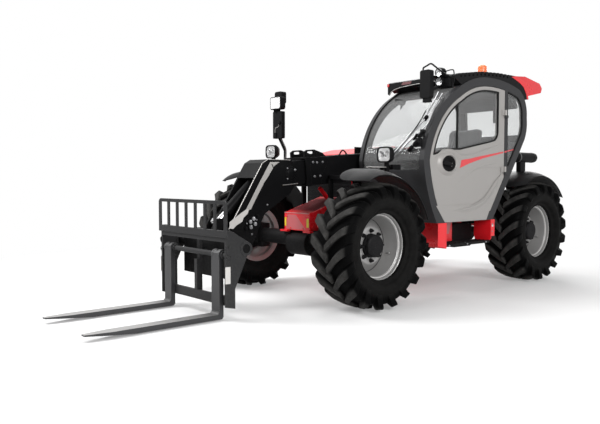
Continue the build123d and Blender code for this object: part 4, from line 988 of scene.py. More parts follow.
@dataclass
class Rim:
    """A stepped steel rim with a dished disc, wheel nuts and a drum hub."""

    flange: float = 0.343
    face: float = 0.962
    nuts: int = 8
    nut_circle: float = 0.143
    drum: float = 0.112
    drum_face: float = 1.038

    def rim_profile(self, inner: float, outer: float) -> list[Flat]:
        """Return the rim's section, from its outer lip inwards and back.

        Args:
            inner: reach of the inner flange.
            outer: reach of the outer flange.

        Returns:
            Pairs of reach along the axle and radius.
        """
        lip, edge = (outer, self.flange)
        steps = [(lip - 0.004, edge), (lip, edge - 0.003), (lip, edge - 0.01), (lip - 0.004, edge - 0.014)]
        for back, drop in ((0.036, 0.017), (0.074, 0.038)):
            steps += [(lip - back + 0.006, edge - drop + 0.001), (lip - back, edge - drop - 0.003),
                (lip - back, edge - drop - 0.013), (lip - back - 0.004, edge - drop - 0.018)]
        return steps + [(lip - 0.1, edge - 0.061), (lip - 0.13, edge - 0.068), (self.face - 0.075, edge - 0.082),
            (inner + 0.03, edge - 0.078), (inner, edge - 0.012), (inner, edge), (inner + 0.01, edge),
            (inner + 0.018, edge - 0.03), (lip - 0.085, edge - 0.03), (lip - 0.045, edge - 0.01),
            (lip - 0.012, edge)]

    def disc_profile(self) -> list[Flat]:
        """Return the disc's section, from its edge to its bore and back."""
        edge = self.flange - 0.081
        face = self.face
        return [(face - 0.075, edge), (face - 0.072, edge - 0.01), (face - 0.064, edge - 0.022),
            (face - 0.01, edge - 0.074), (face - 0.003, edge - 0.082), (face, edge - 0.09),
            (face, self.drum + 0.005), (face - 0.018, self.drum + 0.005), (face - 0.018, edge - 0.088),
            (face - 0.082, edge - 0.024), (face - 0.092, edge)]


class Wheel:
    """One wheel: tyre, rim and hub."""

    def __init__(self, end: End, side: Side, shop: Workshop) -> None:
        """Place the wheel at its frame nodes."""
        self.end = end
        self.side = side
        self.shop = shop
        self.label = f"{end.value}_{side.name.lower()}"
        tyre_low, tyre_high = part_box(f"tyre_{self.label}")
        middle = (tyre_low + tyre_high) / 2
        hub = centre_of(f"hub_{self.label}")
        self.hub = Vector((hub.x, middle.y, hub.z))

    def build(self, turn: float) -> None:
        """Build and dress the wheel.

        Args:
            turn: angle of its first lug.
        """
        body = f"wheel_{self.label}"
        tyre = Tyre()
        self.shop.piece(f"lugged_tyre_{self.label}", tyre.build(self.hub, turn), f"tyre_{self.end.value}", "tyre",
            body=body, bevel=0.0035, bevel_steps=1, replaces=[f"tyre_{self.label}"])
        rim = Rim()
        sign = self.side.value
        axis = Vector((0, sign, 0))
        on_axle = Vector((self.hub.x, 0, self.hub.z))
        low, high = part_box(f"rim_{self.label}")
        inner, outer = sorted((abs(low.y), abs(high.y)))
        shell = Mesh().revolve(rim.rim_profile(inner, outer), on_axle, axis, 112)
        shell.revolve(rim.disc_profile(), on_axle, axis, 96)
        valve = math.radians(250)
        seat = on_axle + axis * (rim.face - 0.02) + Vector((math.sin(valve), 0, math.cos(valve))) * 0.262
        shell.cylinder(seat, seat + axis * 0.05 - Vector((math.sin(valve), 0, math.cos(valve))) * 0.012, 0.007, 12,
            0.001)
        self.shop.piece(f"stepped_rim_{self.label}", shell, "rim_silver", body=body, replaces=[f"rim_{self.label}"])
        # Painted shade: thin dark rings in the creases of the rim's steps and at the disc's edge.
        shade_rings = Mesh()
        for along, radius in ((outer - 0.0355, rim.flange - 0.0175), (outer - 0.0735, rim.flange - 0.0385),
                (rim.face - 0.0725, rim.flange - 0.082)):
            shade_rings.revolve([(along - 0.003, radius + 0.0022), (along + 0.003, radius + 0.0018),
                (along + 0.003, radius - 0.0022), (along - 0.003, radius - 0.0018)], on_axle, axis, 96)
        self.shop.piece(f"rim_gaps_{self.label}", shade_rings, "hub_black", body=body)
        # Beads on the rim's steps in a much lighter silver: painted highlights.
        beads = Mesh()
        for back, drop, size in mm((4, 10, 4), (34, 24, 5.5), (70, 45, 5.5)):
            ring = [(outer - back + size * math.cos(a), rim.flange - drop + size * math.sin(a))
                for a in (FULL_TURN * k / 8 for k in range(8))]
            beads.revolve(ring, on_axle, axis, 96)
        self.shop.piece(f"rim_beads_{self.label}", beads, "bead_silver", "rim_silver", body=body)
        self.hub_and_nuts(rim, on_axle, axis, body)

    def hub_and_nuts(self, rim: Rim, on_axle: Vector, axis: Vector, body: str) -> None:
        """Build the black drum and its ring of nuts.

        Args:
            rim: sizes of the rim.
            on_axle: the axle's middle at hub height.
            axis: direction out of the machine.
            body: the wheel's body.
        """
        drum = rim.drum
        profile = [(rim.face - 0.05, 0.06), (rim.face - 0.05, drum + 0.055), (rim.face - 0.02, drum + 0.055),
            (rim.face - 0.02, drum), (rim.drum_face - 0.055, drum), (rim.drum_face - 0.05, drum - 0.004),
            (rim.drum_face - 0.014, drum - 0.004), (rim.drum_face - 0.004, drum - 0.012),
            (rim.drum_face, drum - 0.022), (rim.drum_face, 0.016), (rim.drum_face - 0.003, 0.013),
            (rim.drum_face - 0.003, 0.0005), (rim.drum_face - 0.04, 0.0005), (rim.drum_face - 0.04, 0.06)]
        hub = Mesh().revolve(profile, on_axle, axis, 72)
        for k in range(3):
            angle = FULL_TURN * (k + 0.2) / 3
            out = Vector((math.sin(angle), 0, math.cos(angle)))
            hub.hex_bolt(on_axle + axis * (rim.drum_face - 0.001) + out * 0.078, axis, 0.014, 0.0014)
        for k in range(rim.nuts):
            angle = FULL_TURN * k / rim.nuts
            out = Vector((math.sin(angle), 0, math.cos(angle))) * rim.nut_circle
            base = on_axle + axis * (rim.face - 0.001) + out
            hub.hex_bolt(base, axis, 0.032, 0.024)
            hub.cylinder(base + axis * 0.02, base + axis * 0.04, 0.0105, 14, 0.002)
        self.shop.piece(f"drum_hub_{self.label}", hub, "hub_black", body=body, bevel=0.0012, bevel_steps=1,
            replaces=[f"hub_{self.label}"])


# ------------------------------------------------------------------ outlines
def face_border(node: str, facing: Point, near: Optional[Point] = None) -> list[Vector]:
    """Walk round the border of a flat face of a frame node.

    Args:
        node: name of the node.
        facing: the way that the face looks.
        near: a place on the wanted face, where the node has several.

    Returns:
        The border's corners in order.
    """
    data = frame["nodes"][node].data
    look = Vector(facing)
    spots: dict[tuple[int, int, int], Vector] = {}
    sides: dict[tuple, int] = {}

    def key(point: Vector) -> tuple[int, int, int]:
        """Return a rounded place, which joins doubled corners."""
        rounded = tuple((round(c * 20000) for c in point))
        spots[rounded] = point.copy()
        return rounded
    for polygon in data.polygons:
        if polygon.normal.dot(look) < 0.95:
            continue
        loop = [key(data.vertices[i].co) for i in polygon.vertices]
        for one, two in zip(loop, loop[1:] + loop[:1]):
            if one != two:
                sides[one, two] = sides.get((one, two), 0) + 1
    forth = {one: two for one, two in sides if (two, one) not in sides}
    borders: list[list[Vector]] = []
    while forth:
        start = next(iter(forth))
        walk, here = ([], start)
        while here in forth:
            walk.append(spots[here])
            here = forth.pop(here)
        borders.append(walk)
    if near is not None:
        spot = Vector(near)
        return min(borders, key=lambda b: (sum(b, Vector()) / len(b) - spot).length)
    return max(borders, key=lambda b: max(((p - q).length for p in b for q in b[::4])))


def strip_frame(border: Sequence[Vector], outward: float, inward: float, low: float, high: float) -> Mesh:
    """Lay a flat strip along a closed outline drawn in X and Z.

    Args:
        border: corners of the outline.
        outward: width outside the outline.
        inward: width inside it.
        low: Y of its back.
        high: Y of its front.

    Returns:
        The strip.
    """
    flat = [Vector((p.x, p.z)) for p in border]
    area = sum((a.x * b.y - b.x * a.y for a, b in zip(flat, flat[1:] + flat[:1])))
    turn = 1.0 if area > 0 else -1.0
    count = len(flat)
    rings = []
    for i, here in enumerate(flat):
        back = (here - flat[i - 1]).normalized()
        forth = (flat[(i + 1) % count] - here).normalized()
        along = (back + forth).normalized()
        out = Vector((along.y, -along.x)) * turn
        reach = 1.0 / max(out.dot(Vector((back.y, -back.x)) * turn), 0.45)
        edge, core = (here + out * outward * reach, here - out * inward * reach)
        rings.append([Vector((edge.x, low, edge.y)), Vector((edge.x, high, edge.y)),
            Vector((core.x, high, core.y)), Vector((core.x, low, core.y))])
    return Mesh().rings(rings, caps=False, looped=True)


def side_sheet(points: Sequence[Flat], y: float, thick: float) -> Mesh:
    """Make a thin sheet facing sideways.

    Args:
        points: corners as pairs of metres ahead of the front axle and height.
        y: Y of its back.
        thick: thickness towards the side that y is on.

    Returns:
        The sheet.
    """
    out = thick if y >= 0 else -thick
    return Mesh().prism([ahead(f, y, z) for f, z in points], Vector((0, out, 0)))


# ------------------------------------------------------------------ cab
@dataclass
class Door:
    """Trim of the door: window seal, mullion, round handle and stripe."""

    skin: float = 1.1
    mullion: float = -1.178
    handle: Flat = (-1.015, 1.398)
    cup: float = 0.092
    cup_wide: float = 0.114
    cup_tall: float = 0.08
    body: str = "cab_door"

    def build(self, shop: Workshop) -> None:
        """Build the door's trim."""
        border = face_border("door_glass", (0, 1, 0))
        seal = strip_frame(border, 0.005, 0.013, self.skin - 0.013, self.skin + 0.0035)
        shop.piece("door_window_seal", seal, "seal_rubber", "black_plastic", body=self.body, bevel=0.0025)
        lower, upper = self.window_at(border, FRONT_X + self.mullion)
        post = Mesh()
        for wide, front in ((0.014, 0.9985), (0.009, 1.0025)):
            post.box((FRONT_X + self.mullion - wide, self.skin - 0.0135, lower + 0.004),
                (FRONT_X + self.mullion + wide, self.skin * front - 0.001, upper - 0.004))
        shop.piece("door_mullion", post, "seal_rubber", "black_plastic", body=self.body, bevel=0.002)
        self.handle_and_cup(shop)
        self.stripe(shop)
        self.creases(shop)

    def window_at(self, border: Sequence[Vector], x: float) -> Flat:
        """Return the lowest and highest place of the window at one X."""
        heights = []
        for one, two in zip(border, list(border[1:]) + [border[0]]):
            if (one.x - x) * (two.x - x) <= 0 and abs(two.x - one.x) > 1e-09:
                heights.append(one.z + (two.z - one.z) * (x - one.x) / (two.x - one.x))
        return (min(heights), max(heights))

    def handle_and_cup(self, shop: Workshop) -> None:
        """Build the raised ring, the dark cup, the lever and its lock."""
        centre = ahead(self.handle[0], 0, self.handle[1])
        out = Vector((0, 1, 0))
        s = self.skin

        def oval(y: float, wide: float) -> list[Vector]:
            """Return one oval round the cup, at one Y and one share of its full size."""
            return [centre + out * y + Vector((math.cos(a) * self.cup_wide * wide, 0,
                math.sin(a) * self.cup_tall * wide)) for a in (FULL_TURN * k / 72 for k in range(72))]
        bulge = Mesh().rings([oval(s + y, share) for y, share in ((-0.004, 1.02), (0.016, 1.03), (0.0235, 1.1),
            (0.0245, 1.17), (0.02, 1.28), (0.011, 1.4), (0.003, 1.52), (-0.002, 1.6))], caps=False)
        shop.piece("handle_surround", bulge, "door_grey", body=self.body)
        dish = Mesh().rings([oval(s + y, share) for y, share in ((-0.001, 1.04), (0.01, 1.035), (0.0085, 0.99),
            (0.003, 0.9), (0.001, 0.8), (-0.008, 0.72), (-0.015, 0.6), (-0.019, 0.4), (-0.0195, 0.05))], caps=False)
        shop.piece("handle_cup", dish, "black_plastic", body=self.body)
        tilt = math.radians(-8)
        along = Vector((-math.cos(tilt), 0, math.sin(tilt)))
        across = Vector((math.sin(tilt), 0, math.cos(tilt)))
        lever = Mesh()
        rings = []
        for k in range(13):
            t = -1 + k / 6
            half = 0.0195 * math.sqrt(max(1 - abs(t) ** 5, 0.06)) * (1.2 if t < -0.55 else 1.0)
            rise = 0.023 + 0.004 * (1 - t * t)
            base = centre + along * (t * (self.cup - 0.003)) + out * (s - 0.0205)
            rings.append([base - across * half, base - across * half + out * rise * 0.8,
                base - across * half * 0.6 + out * rise, base + across * half * 0.6 + out * rise,
                base + across * half + out * rise * 0.8, base + across * half])
        lever.rings(rings)
        shop.piece("handle_lever", lever, "black_plastic", body=self.body, bevel=0.002)
        place = centre - along * (self.cup * 0.62) + out * (s - 0.006)
        lock = Mesh().cylinder(place, place + out * 0.006, 0.01, 24, 0.0015)
        lock.box((place.x - 0.0012, place.y + 0.0055, place.z - 0.006),
            (place.x + 0.0012, place.y + 0.0066, place.z + 0.006))
        shop.piece("handle_lock", lock, "steel_bright", "chrome_rod", body=self.body)

    def stripe(self, shop: Workshop) -> None:
        """Build the red stripe across the door, the pillar and the rear window."""
        top = mm((-1249, 1438), (-1650, 1494.5), (-2050, 1551.8))
        low = mm((-2050, 1533.5), (-1650, 1465.5), (-1400, 1407), (-1224, 1355))
        shop.piece("door_stripe", side_sheet(top + low, self.skin, 0.0012), "stripe_red", "red_paint",
            body=self.body, bevel=0.0004)
        pillar = mm((-2074.5, 1555.3), (-2123.5, 1562.3), (-2123.5, 1545.5), (-2074.5, 1537.5))
        shop.piece("pillar_stripe", side_sheet(pillar, self.skin, 0.0012), "stripe_red", "red_paint", bevel=0.0004)
        tip = mm((-2128.5, 1563), (-2295, 1587), (-2298, 1578), (-2128.5, 1546.3))
        shop.piece("window_stripe", side_sheet(tip, self.skin - 0.0138, 0.0012), "stripe_red", "red_paint",
            bevel=0.0004)

    def creases(self, shop: Workshop) -> None:
        """Build the pressed creases and the skin that runs down over the sill."""
        folds = Mesh()
        for route, section in ((mm((-1107, 906), (-1367, 925), (-1589, 975), (-1741, 1052), (-1896, 1187),
                (-2010, 1290)), mm((22, 0), (14, 4), (6, 19), (-2, 20.5), (-36, 4), (-46, 0))),
                (mm((-1170, 1190), (-1336, 1280), (-1530, 1355), (-1745, 1400), (-1990, 1425)),
                mm((30, 0), (18, 4), (4, 7), (-4, 6), (-10, 0))), (mm((-790, 1452), (-860, 1500), (-940, 1528),
                (-1025, 1540), (-1110, 1530), (-1185, 1500), (-1260, 1482), (-1477, 1505), (-1780, 1580),
                (-2030, 1640)), mm((18, 0), (10, 7), (2, 15.5), (-8, 16.5), (-34, 3), (-42, 0)))):
            line = smooth_path([ahead(f, self.skin, z) for f, z in route], 8)
            rings = []
            for i, here in enumerate(line):
                way = (line[min(i + 1, len(line) - 1)] - line[max(i - 1, 0)]).normalized()
                down = Vector((way.z, 0, -way.x))
                fade = min(1.0, 0.1 + 5 * i / len(line), 0.1 + 5 * (len(line) - 1 - i) / len(line))
                rings.append([here + down * w * fade + Vector((0, h * fade - 0.001, 0)) for w, h in section])
            folds.rings(rings)
        shop.piece("door_folds", folds, "door_grey", body=self.body)
        apron = mm((-824, 965), (-975, 788.5), (-1728, 788.5), (-1830, 960))
        shop.piece("door_apron", side_sheet(apron, self.skin - 0.001, 0.0022), "door_grey", body=self.body,
            bevel=0.001)


@dataclass
class Cab:
    """Trim of the cab: roof, screen, lamps on the corner, inside and back."""

    left: float = 1.1
    right: float = 0.212
    top: float = 2.425

    def build(self, shop: Workshop) -> None:
        """Build the cab's trim."""
        Door().build(shop)
        self.window_seals(shop)
        self.visor(shop)
        self.screen_fittings(shop)
        self.work_lamps(shop)
        self.guard(shop)
        self.aerial(shop)
        self.inside(shop)

    def window_seals(self, shop: Workshop) -> None:
        """Build the rubber round the side windows and the dark lower part of the rear one."""
        for name, facing, near, y in (("left", (0, 1, 0), ahead(-2.3, 1.09, 1.9), self.left - 0.0075),
                ("right", (0, -1, 0), ahead(-1.6, 0.22, 1.9), self.right + 0.0075)):
            border = face_border("cab_windows", facing, near)
            low, high = sorted((y, y + (0.006 if name == "left" else -0.006)))
            shop.piece(f"{name}_window_seal", strip_frame(border, 0.001, 0.014, low - 0.006, high), "seal_rubber",
                "black_plastic", bevel=0.0015)
        trim = mm((-2128, 1668), (-2400, 1668), (-2372, 1625), (-2172, 1392), (-2128, 1392))
        shop.piece("rear_quarter_trim", side_sheet(trim, self.left - 0.04, 0.012), "cab_grey", bevel=0.003)
        border = face_border("windscreen", (0, -1, 0))
        shop.piece("screen_edge_right", strip_frame(border, 0.002, 0.02, self.right + 0.06, self.right + 0.064),
            "seal_rubber", "black_plastic")

    def visor(self, shop: Workshop) -> None:
        """Build the visor's light edge, its reflector and its blank label."""
        line = mm((-1126.5, 205, 2195), (-1126.2, 235, 2232), (-1126, 340, 2262), (-1125.5, 600, 2279),
            (-1125.5, 950, 2284))
        edge = Mesh().tube(smooth_path([ahead(*p) for p in line], 6), 0.0035, 10)
        shop.piece("visor_edge", edge, "decal_silver", "cab_grey")
        apron = Mesh()
        outline = mm((172, 2286), (172, 2205), (200, 2190), (235, 2235), (340, 2266), (600, 2283), (1090, 2287))
        apron.front_plate(-1.1285, outline, -0.006)
        shop.piece("visor_apron", apron, "black_plastic", bevel=0.001)
        label = [ahead(-1.1298, y, z) for y, z in mm((370, 2290), (500, 2290), (520, 2321), (390, 2321))]
        shop.piece("visor_label", Mesh().prism(label, Vector((0.001, 0, 0))), "sticker_dark_red", "red_paint")
        corner = rounded_box((0.169, 2.288), (0.196, 2.322), 0.006, 3)
        lens = Mesh().front_plate(-1.13, corner, 0.01)
        shop.piece("visor_reflector", lens, "lamp_red", "beacon_orange", bevel=0.002)

    def screen_fittings(self, shop: Workshop) -> None:
        """Build the wiper's two bright rods, its motor cover and blade, and the bracket above it."""
        rods = Mesh()
        for path, thick in ((mm((-1048, 946, 2147), (-910, 996, 2040), (-790, 1004, 1908), (-752, 1012, 1855),
                (-665, 908, 1699), (-610, 764, 1543), (-598, 712, 1488)), 0.0085),
                (mm((-1014, 1021, 2124), (-919, 1050, 2048), (-816, 1062, 1941), (-718, 1066, 1801),
                (-675, 1022, 1729), (-633, 912, 1630), (-602, 812, 1523)), 0.0075)):
            rods.tube(smooth_path([ahead(*p) for p in path], 8), thick, 12)
        shop.piece("wiper_rods", rods, "tube_steel", "chrome_rod")
        fittings = Mesh()
        for (x, y, z), radius, length in (((-0.752, 1.012, 1.855), 0.02, 0.05),
                ((-0.655, 0.96, 1.665), 0.016, 0.07), ((-0.64, 1.05, 1.69), 0.02, 0.09),
                ((-0.612, 1.015, 1.6), 0.03, 0.07), ((-0.61, 0.935, 1.545), 0.022, 0.06)):
            start = ahead(x - 0.012, y - length / 2, z - length / 3)
            fittings.cylinder(start, start + Vector((0.018, length, length * 0.66)), radius, 20, 0.004)
        fittings.box(ahead(-0.64, 1.0, 1.56), ahead(-0.604, 1.065, 1.65))
        fittings.box(ahead(-0.664, 1.04, 1.655), ahead(-0.628, 1.075, 1.735))
        shop.piece("wiper_fittings", fittings, "black_plastic", bevel=0.003)
        blade = Mesh()
        blade.tube(smooth_path([ahead(*p) for p in mm((-600, 700, 1470), (-640, 860, 1640), (-700, 965, 1800),
            (-790, 985, 1935))], 8), 0.006, 8)
        shop.piece("wiper_blade", blade, "seal_rubber", "black_plastic")
        hook = mm((335, 2130), (500, 2100), (500, 2055), (475, 2045), (462, 1995), (445, 2050), (345, 2080))
        bracket = Mesh().prism([ahead(-1.02 - (z - 2.0) * 0.45, y, z) for y, z in hook], Vector((0.012, 0, 0.008)))
        shop.piece("screen_bracket", bracket, "black_plastic", bevel=0.003)

    def work_lamps(self, shop: Workshop) -> None:
        """Build the two round work lamps' rims, bowls and lenses, and the left mirror's trim."""
        for number, height in enumerate((self.top - 0.095, self.top - 0.19)):
            centre = ahead(-0.93, 1.04, height)
            out = Vector((1, 0, 0))
            rim = mm((-62, 46.2), (4, 47.5), (9, 47), (10, 44), (7, 41.5), (2, 41), (2, 38), (-62, 38))
            case = Mesh().revolve(rim, centre, out, 48)
            for k in range(4):
                case.cylinder(centre + out * (-0.055 + 0.012 * k), centre + out * (-0.05 + 0.012 * k), 0.05, 40,
                    0.001)
            shop.piece(f"work_lamp_case_{number + 1}", case, "black_plastic")
            bowl = mm((0.6, 0.5), (0.8, 12), (2.2, 24), (3.6, 34), (4, 41.2), (0.2, 41.2), (0.2, 0.5))
            shop.piece(f"work_lamp_bowl_{number + 1}", Mesh().revolve(bowl, centre, out, 48), "reflector",
                "lamp_clear")
            glass = mm((4.6, 41.2), (6, 34), (7.6, 18), (8.2, 0.5), (7, 0.5), (4.8, 34), (4.2, 41.2))
            shop.piece(f"work_lamp_lens_{number + 1}", Mesh().revolve(glass, centre, out, 48), "lamp_glass",
                "lamp_clear")
        plate = rounded_box((0.93, 2.07), (1.04, 2.335), 0.016, 4)
        glass_face = Mesh().front_plate(-0.8302, plate, -0.0016)
        shop.piece("left_mirror_glass", glass_face, "mirror_glass", "lamp_clear")
        ribs = Mesh()
        ribs.cylinder(ahead(-0.8, 0.912, 2.235), ahead(-0.8, 0.925, 2.235), 0.026, 24, 0.004)
        ribs.cylinder(ahead(-0.83, 1.0, 2.13), ahead(-0.92, 1.035, 2.19), 0.016, 16, 0.002)
        ribs.box(ahead(-1.0, 1.02, 2.165), ahead(-0.975, 1.172, 2.29))
        ribs.box(ahead(-0.985, 1.09, 2.18), ahead(-0.945, 1.16, 2.26))
        ribs.box(ahead(-0.82, 0.95, 2.018), ahead(-0.78, 1.04, 2.064))
        shop.piece("left_mirror_trim", ribs, "black_plastic", bevel=0.002)

    def guard(self, shop: Workshop) -> None:
        """Bend the two wire guards round the work lamps."""
        first = mm((-780, 955, 2340), (-780, 957, 2368), (-790, 995, 2388), (-800, 1037, 2403), (-825, 1072, 2372),
            (-850, 1108, 2335), (-900, 1152, 2288), (-960, 1170, 2272), (-990, 1168, 2262))
        second = mm((-960, 1080, 2330), (-962, 1119, 2340), (-985, 1155, 2348), (-998, 1172, 2332),
            (-1000, 1174, 2230), (-998, 1168, 2215))
        wire = Mesh()
        for path, thick in ((first, 0.0085), (second, 0.006)):
            wire.tube(smooth_path([ahead(*p) for p in path], 6), thick, 12)
        shop.piece("lamp_guard", wire, "black_paint")

    def aerial(self, shop: Workshop) -> None:
        """Build the beacon's foot and rings and the thin aerial beside it."""
        low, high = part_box("beacon")
        centre = Vector(((low.x + high.x) / 2, (low.y + high.y) / 2, low.z))
        up = Vector((0, 0, 1))
        foot = mm((0, 62.2), (0, 64), (12, 64), (22, 60), (30, 53.5), (30, 51.5), (0.5, 51.5))
        ring = Mesh().revolve(foot, centre, up, 56)
        shop.piece("beacon_foot", ring, "black_plastic")
        base = ahead(-2.1, 0.8, self.top - 0.004)
        rod = Mesh().cylinder(base, base + Vector((0, 0, 0.018)), 0.014, 20, 0.003)
        rod.tube([base + Vector((0, 0, 0.015)), base + Vector((-0.03, -0.008, 0.06)),
            base + Vector((-0.068, -0.018, 0.116))], 0.0028, 8)
        shop.piece("aerial", rod, "black_plastic")

    def inside(self, shop: Workshop) -> None:
        """Build what shows through the glass: headlining, dash, wheel grip, belt and side box."""
        lining = Mesh()
        side = mm((-1300, 2190), (-1420, 2235), (-1720, 2285), (-2100, 2272), (-2360, 2210), (-2440, 2080),
            (-2400, 2060), (-2300, 2140), (-2080, 2190), (-1720, 2205), (-1450, 2160), (-1300, 2135))
        lining.prism([ahead(f, self.right + 0.052, z) for f, z in side],
            Vector((0, self.left - self.right - 0.104, 0)))
        shop.piece("headlining", lining, "cab_grey", bevel=0.006)
        dash = Mesh()
        for (f0, z0), (f1, z1), y0, y1 in (((-1.015, 1.375), (-0.868, 1.432), 0.545, 0.755),
                ((-1.6, 1.2), (-1.3, 1.34), 0.3, 0.39)):
            dash.box(ahead(f0, y0, z0), ahead(f1, y1, z1))
        dash.tube(smooth_path([ahead(-1.36, 0.345, 1.33), ahead(-1.345, 0.345, 1.4), ahead(-1.33, 0.35, 1.46)], 4),
            0.011, 12)
        dash.cylinder(ahead(-1.33, 0.35, 1.455), ahead(-1.322, 0.352, 1.51), 0.024, 20, 0.008)
        shop.piece("console", dash, "black_plastic", bevel=0.012, bevel_steps=3)
        screen = Mesh().front_plate(-1.0165, mm((560, 1385), (740, 1385), (740, 1425), (560, 1425)), -0.001)
        shop.piece("dash_display", screen, "display_glass", "tinted_glass")
        low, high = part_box("steering_wheel")
        middle = ahead(-1.2252, 0.65, 1.4503)
        axis = Vector((-105, 0, 150)).normalized()
        rim = Mesh().revolve([(0.011 + 0.0125 * math.sin(a), 0.1775 + 0.0145 * math.cos(a))
            for a in (FULL_TURN * k / 14 for k in range(14))], middle, axis, 64)
        for k in range(3):
            out = axis.orthogonal().normalized()
            out = Matrix.Rotation(FULL_TURN * (k + 0.25) / 3, 3, axis) @ out
            side_way = axis.cross(out)
            rings = [[middle + out * r + side_way * w + axis * h for w,
                h in ((-half, 0.006), (-half, 0.016), (half, 0.016), (half, 0.006))] for r,
                half in mm((35, 22), (90, 14), (170, 16))]
            rim.rings(rings)
        rim.revolve(mm((0, 0.5), (0, 50), (20, 48), (30, 38), (32, 0.5)), middle, axis, 40)
        rim.cylinder(middle + axis * 0.03 + Vector((0, 0.13, 0)), middle + axis * 0.075 + Vector((0, 0.13, 0)),
            0.017, 20, 0.006)
        shop.piece("steering_wheel_grip", rim, "black_plastic", replaces=["steering_wheel"])
        mirror = Mesh()
        mirror.box(ahead(-2.335, 0.8, 1.905), ahead(-2.3, 0.955, 2.105))
        mirror.tube([ahead(-2.315, 0.875, 2.1), ahead(-2.3, 0.875, 2.2)], 0.009, 10)
        shop.piece("hanging_speaker", mirror, "black_plastic", bevel=0.012, bevel_steps=3)


@dataclass
class Seat:
    """The driver's seat: a cushion and a back, both filled and sewn."""

    middle_y: float = 0.65
    half_width: float = 0.222
    voxel: float = 0.006
    pressure: float = 4.0
    most_travel: float = 0.014
    seams: tuple[float, ...] = (-0.075, 0.075)

    def build(self, shop: Workshop) -> None:
        """Build and fill both pads."""
        seat = self.shell(mm((-1885, 1182), (-1885, 1262), (-1470, 1272), (-1438, 1250), (-1436, 1190)),
            self.half_width)
        back = self.shell(mm((-1912, 1292), (-1828, 1292), (-1880, 1560), (-1925, 1800), (-1950, 1822),
            (-2005, 1822), (-2020, 1800)), self.half_width - 0.008)
        self.pad(shop, "seat_pad", seat, (0, 0, 1), replaces=["seat_cushions"])
        self.pad(shop, "seat_back_pad", back, (1, 0, 0.25))

    def shell(self, side: Sequence[Flat], half: float) -> Mesh:
        """Loft the pad's starting shape across its width, drawn in at both sides."""
        centre = (sum((f for f, _ in side)) / len(side), sum((z for _, z in side)) / len(side))
        outline = rounded_outline(side, 0.022, 4)
        rings = []
        for share, size in ((-1.0, 0.8), (-0.94, 0.94), (-0.8, 1.0), (-0.3, 1.0), (0.3, 1.0), (0.8, 1.0),
                (0.94, 0.94), (1.0, 0.8)):
            rings.append([ahead(centre[0] + (f - centre[0]) * (0.5 + size / 2), self.middle_y + half * share,
                centre[1] + (z - centre[1]) * size) for f, z in outline])
        return Mesh().rings(rings)

    def pad(self, shop: Workshop, name: str, mesh: Mesh, face: Point, replaces: Sequence[str] = ()) -> None:
        """Blow up one pad, sew its channels and dress it.

        Args:
            shop: the workshop.
            name: the piece's name.
            mesh: its starting shape.
            face: the way that its sewn face looks.
            replaces: frame nodes that it stands for.
        """
        made = shop.piece(name, mesh, "seat_fabric", replaces=replaces)
        self.remesh(made)
        self.inflate(made)
        look = Vector(face).normalized()
        for vertex in made.data.vertices:
            if vertex.normal.dot(look) > 0.35:
                across = vertex.co.y - self.middle_y
                sunk = sum((math.exp(-((across - seam) / 0.006) ** 2) for seam in self.seams))
                edge = math.exp(-((abs(across) - (self.half_width - 0.03)) / 0.005) ** 2)
                vertex.co -= vertex.normal * 0.006 * min(sunk + 0.6 * edge, 1.0)
        for polygon in made.data.polygons:
            polygon.use_smooth = True
        finer = made.modifiers.new("finer", "SUBSURF")
        finer.levels = finer.render_levels = 1

    def remesh(self, made: bpy.types.Object) -> None:
        """Remesh a pad into even small faces."""
        even = made.modifiers.new("even", "REMESH")
        even.mode = "VOXEL"
        even.voxel_size = self.voxel * 1
        self.settle(made)

    def settle(self, made: bpy.types.Object) -> None:
        """Apply a pad's modifiers to its mesh."""
        graph = bpy.context.evaluated_depsgraph_get()
        graph.update()
        shaped = bpy.data.meshes.new_from_object(made.evaluated_get(graph))
        made.modifiers.clear()
        materials = list(made.data.materials)
        made.data = shaped
        made.data.materials.clear()
        for material in materials:
            made.data.materials.append(material)

    def inflate(self, made: bpy.types.Object) -> None:
        """Blow up a pad as cloth and hold back the points that travel too far."""
        start = [v.co.copy() for v in made.data.vertices]
        cloth = made.modifiers.new("fill", "CLOTH")
        cloth.settings.use_pressure = True
        cloth.settings.uniform_pressure_force = self.pressure
        cloth.settings.effector_weights.gravity = 0.0
        cloth.settings.quality = 5
        scene = bpy.context.scene
        for step in range(1, 21):
            scene.frame_set(step)
        self.settle(made)
        scene.frame_set(1)
        for vertex, first in zip(made.data.vertices, start):
            travel = vertex.co - first
            if travel.length > self.most_travel:
                vertex.co = first + travel.normalized() * self.most_travel


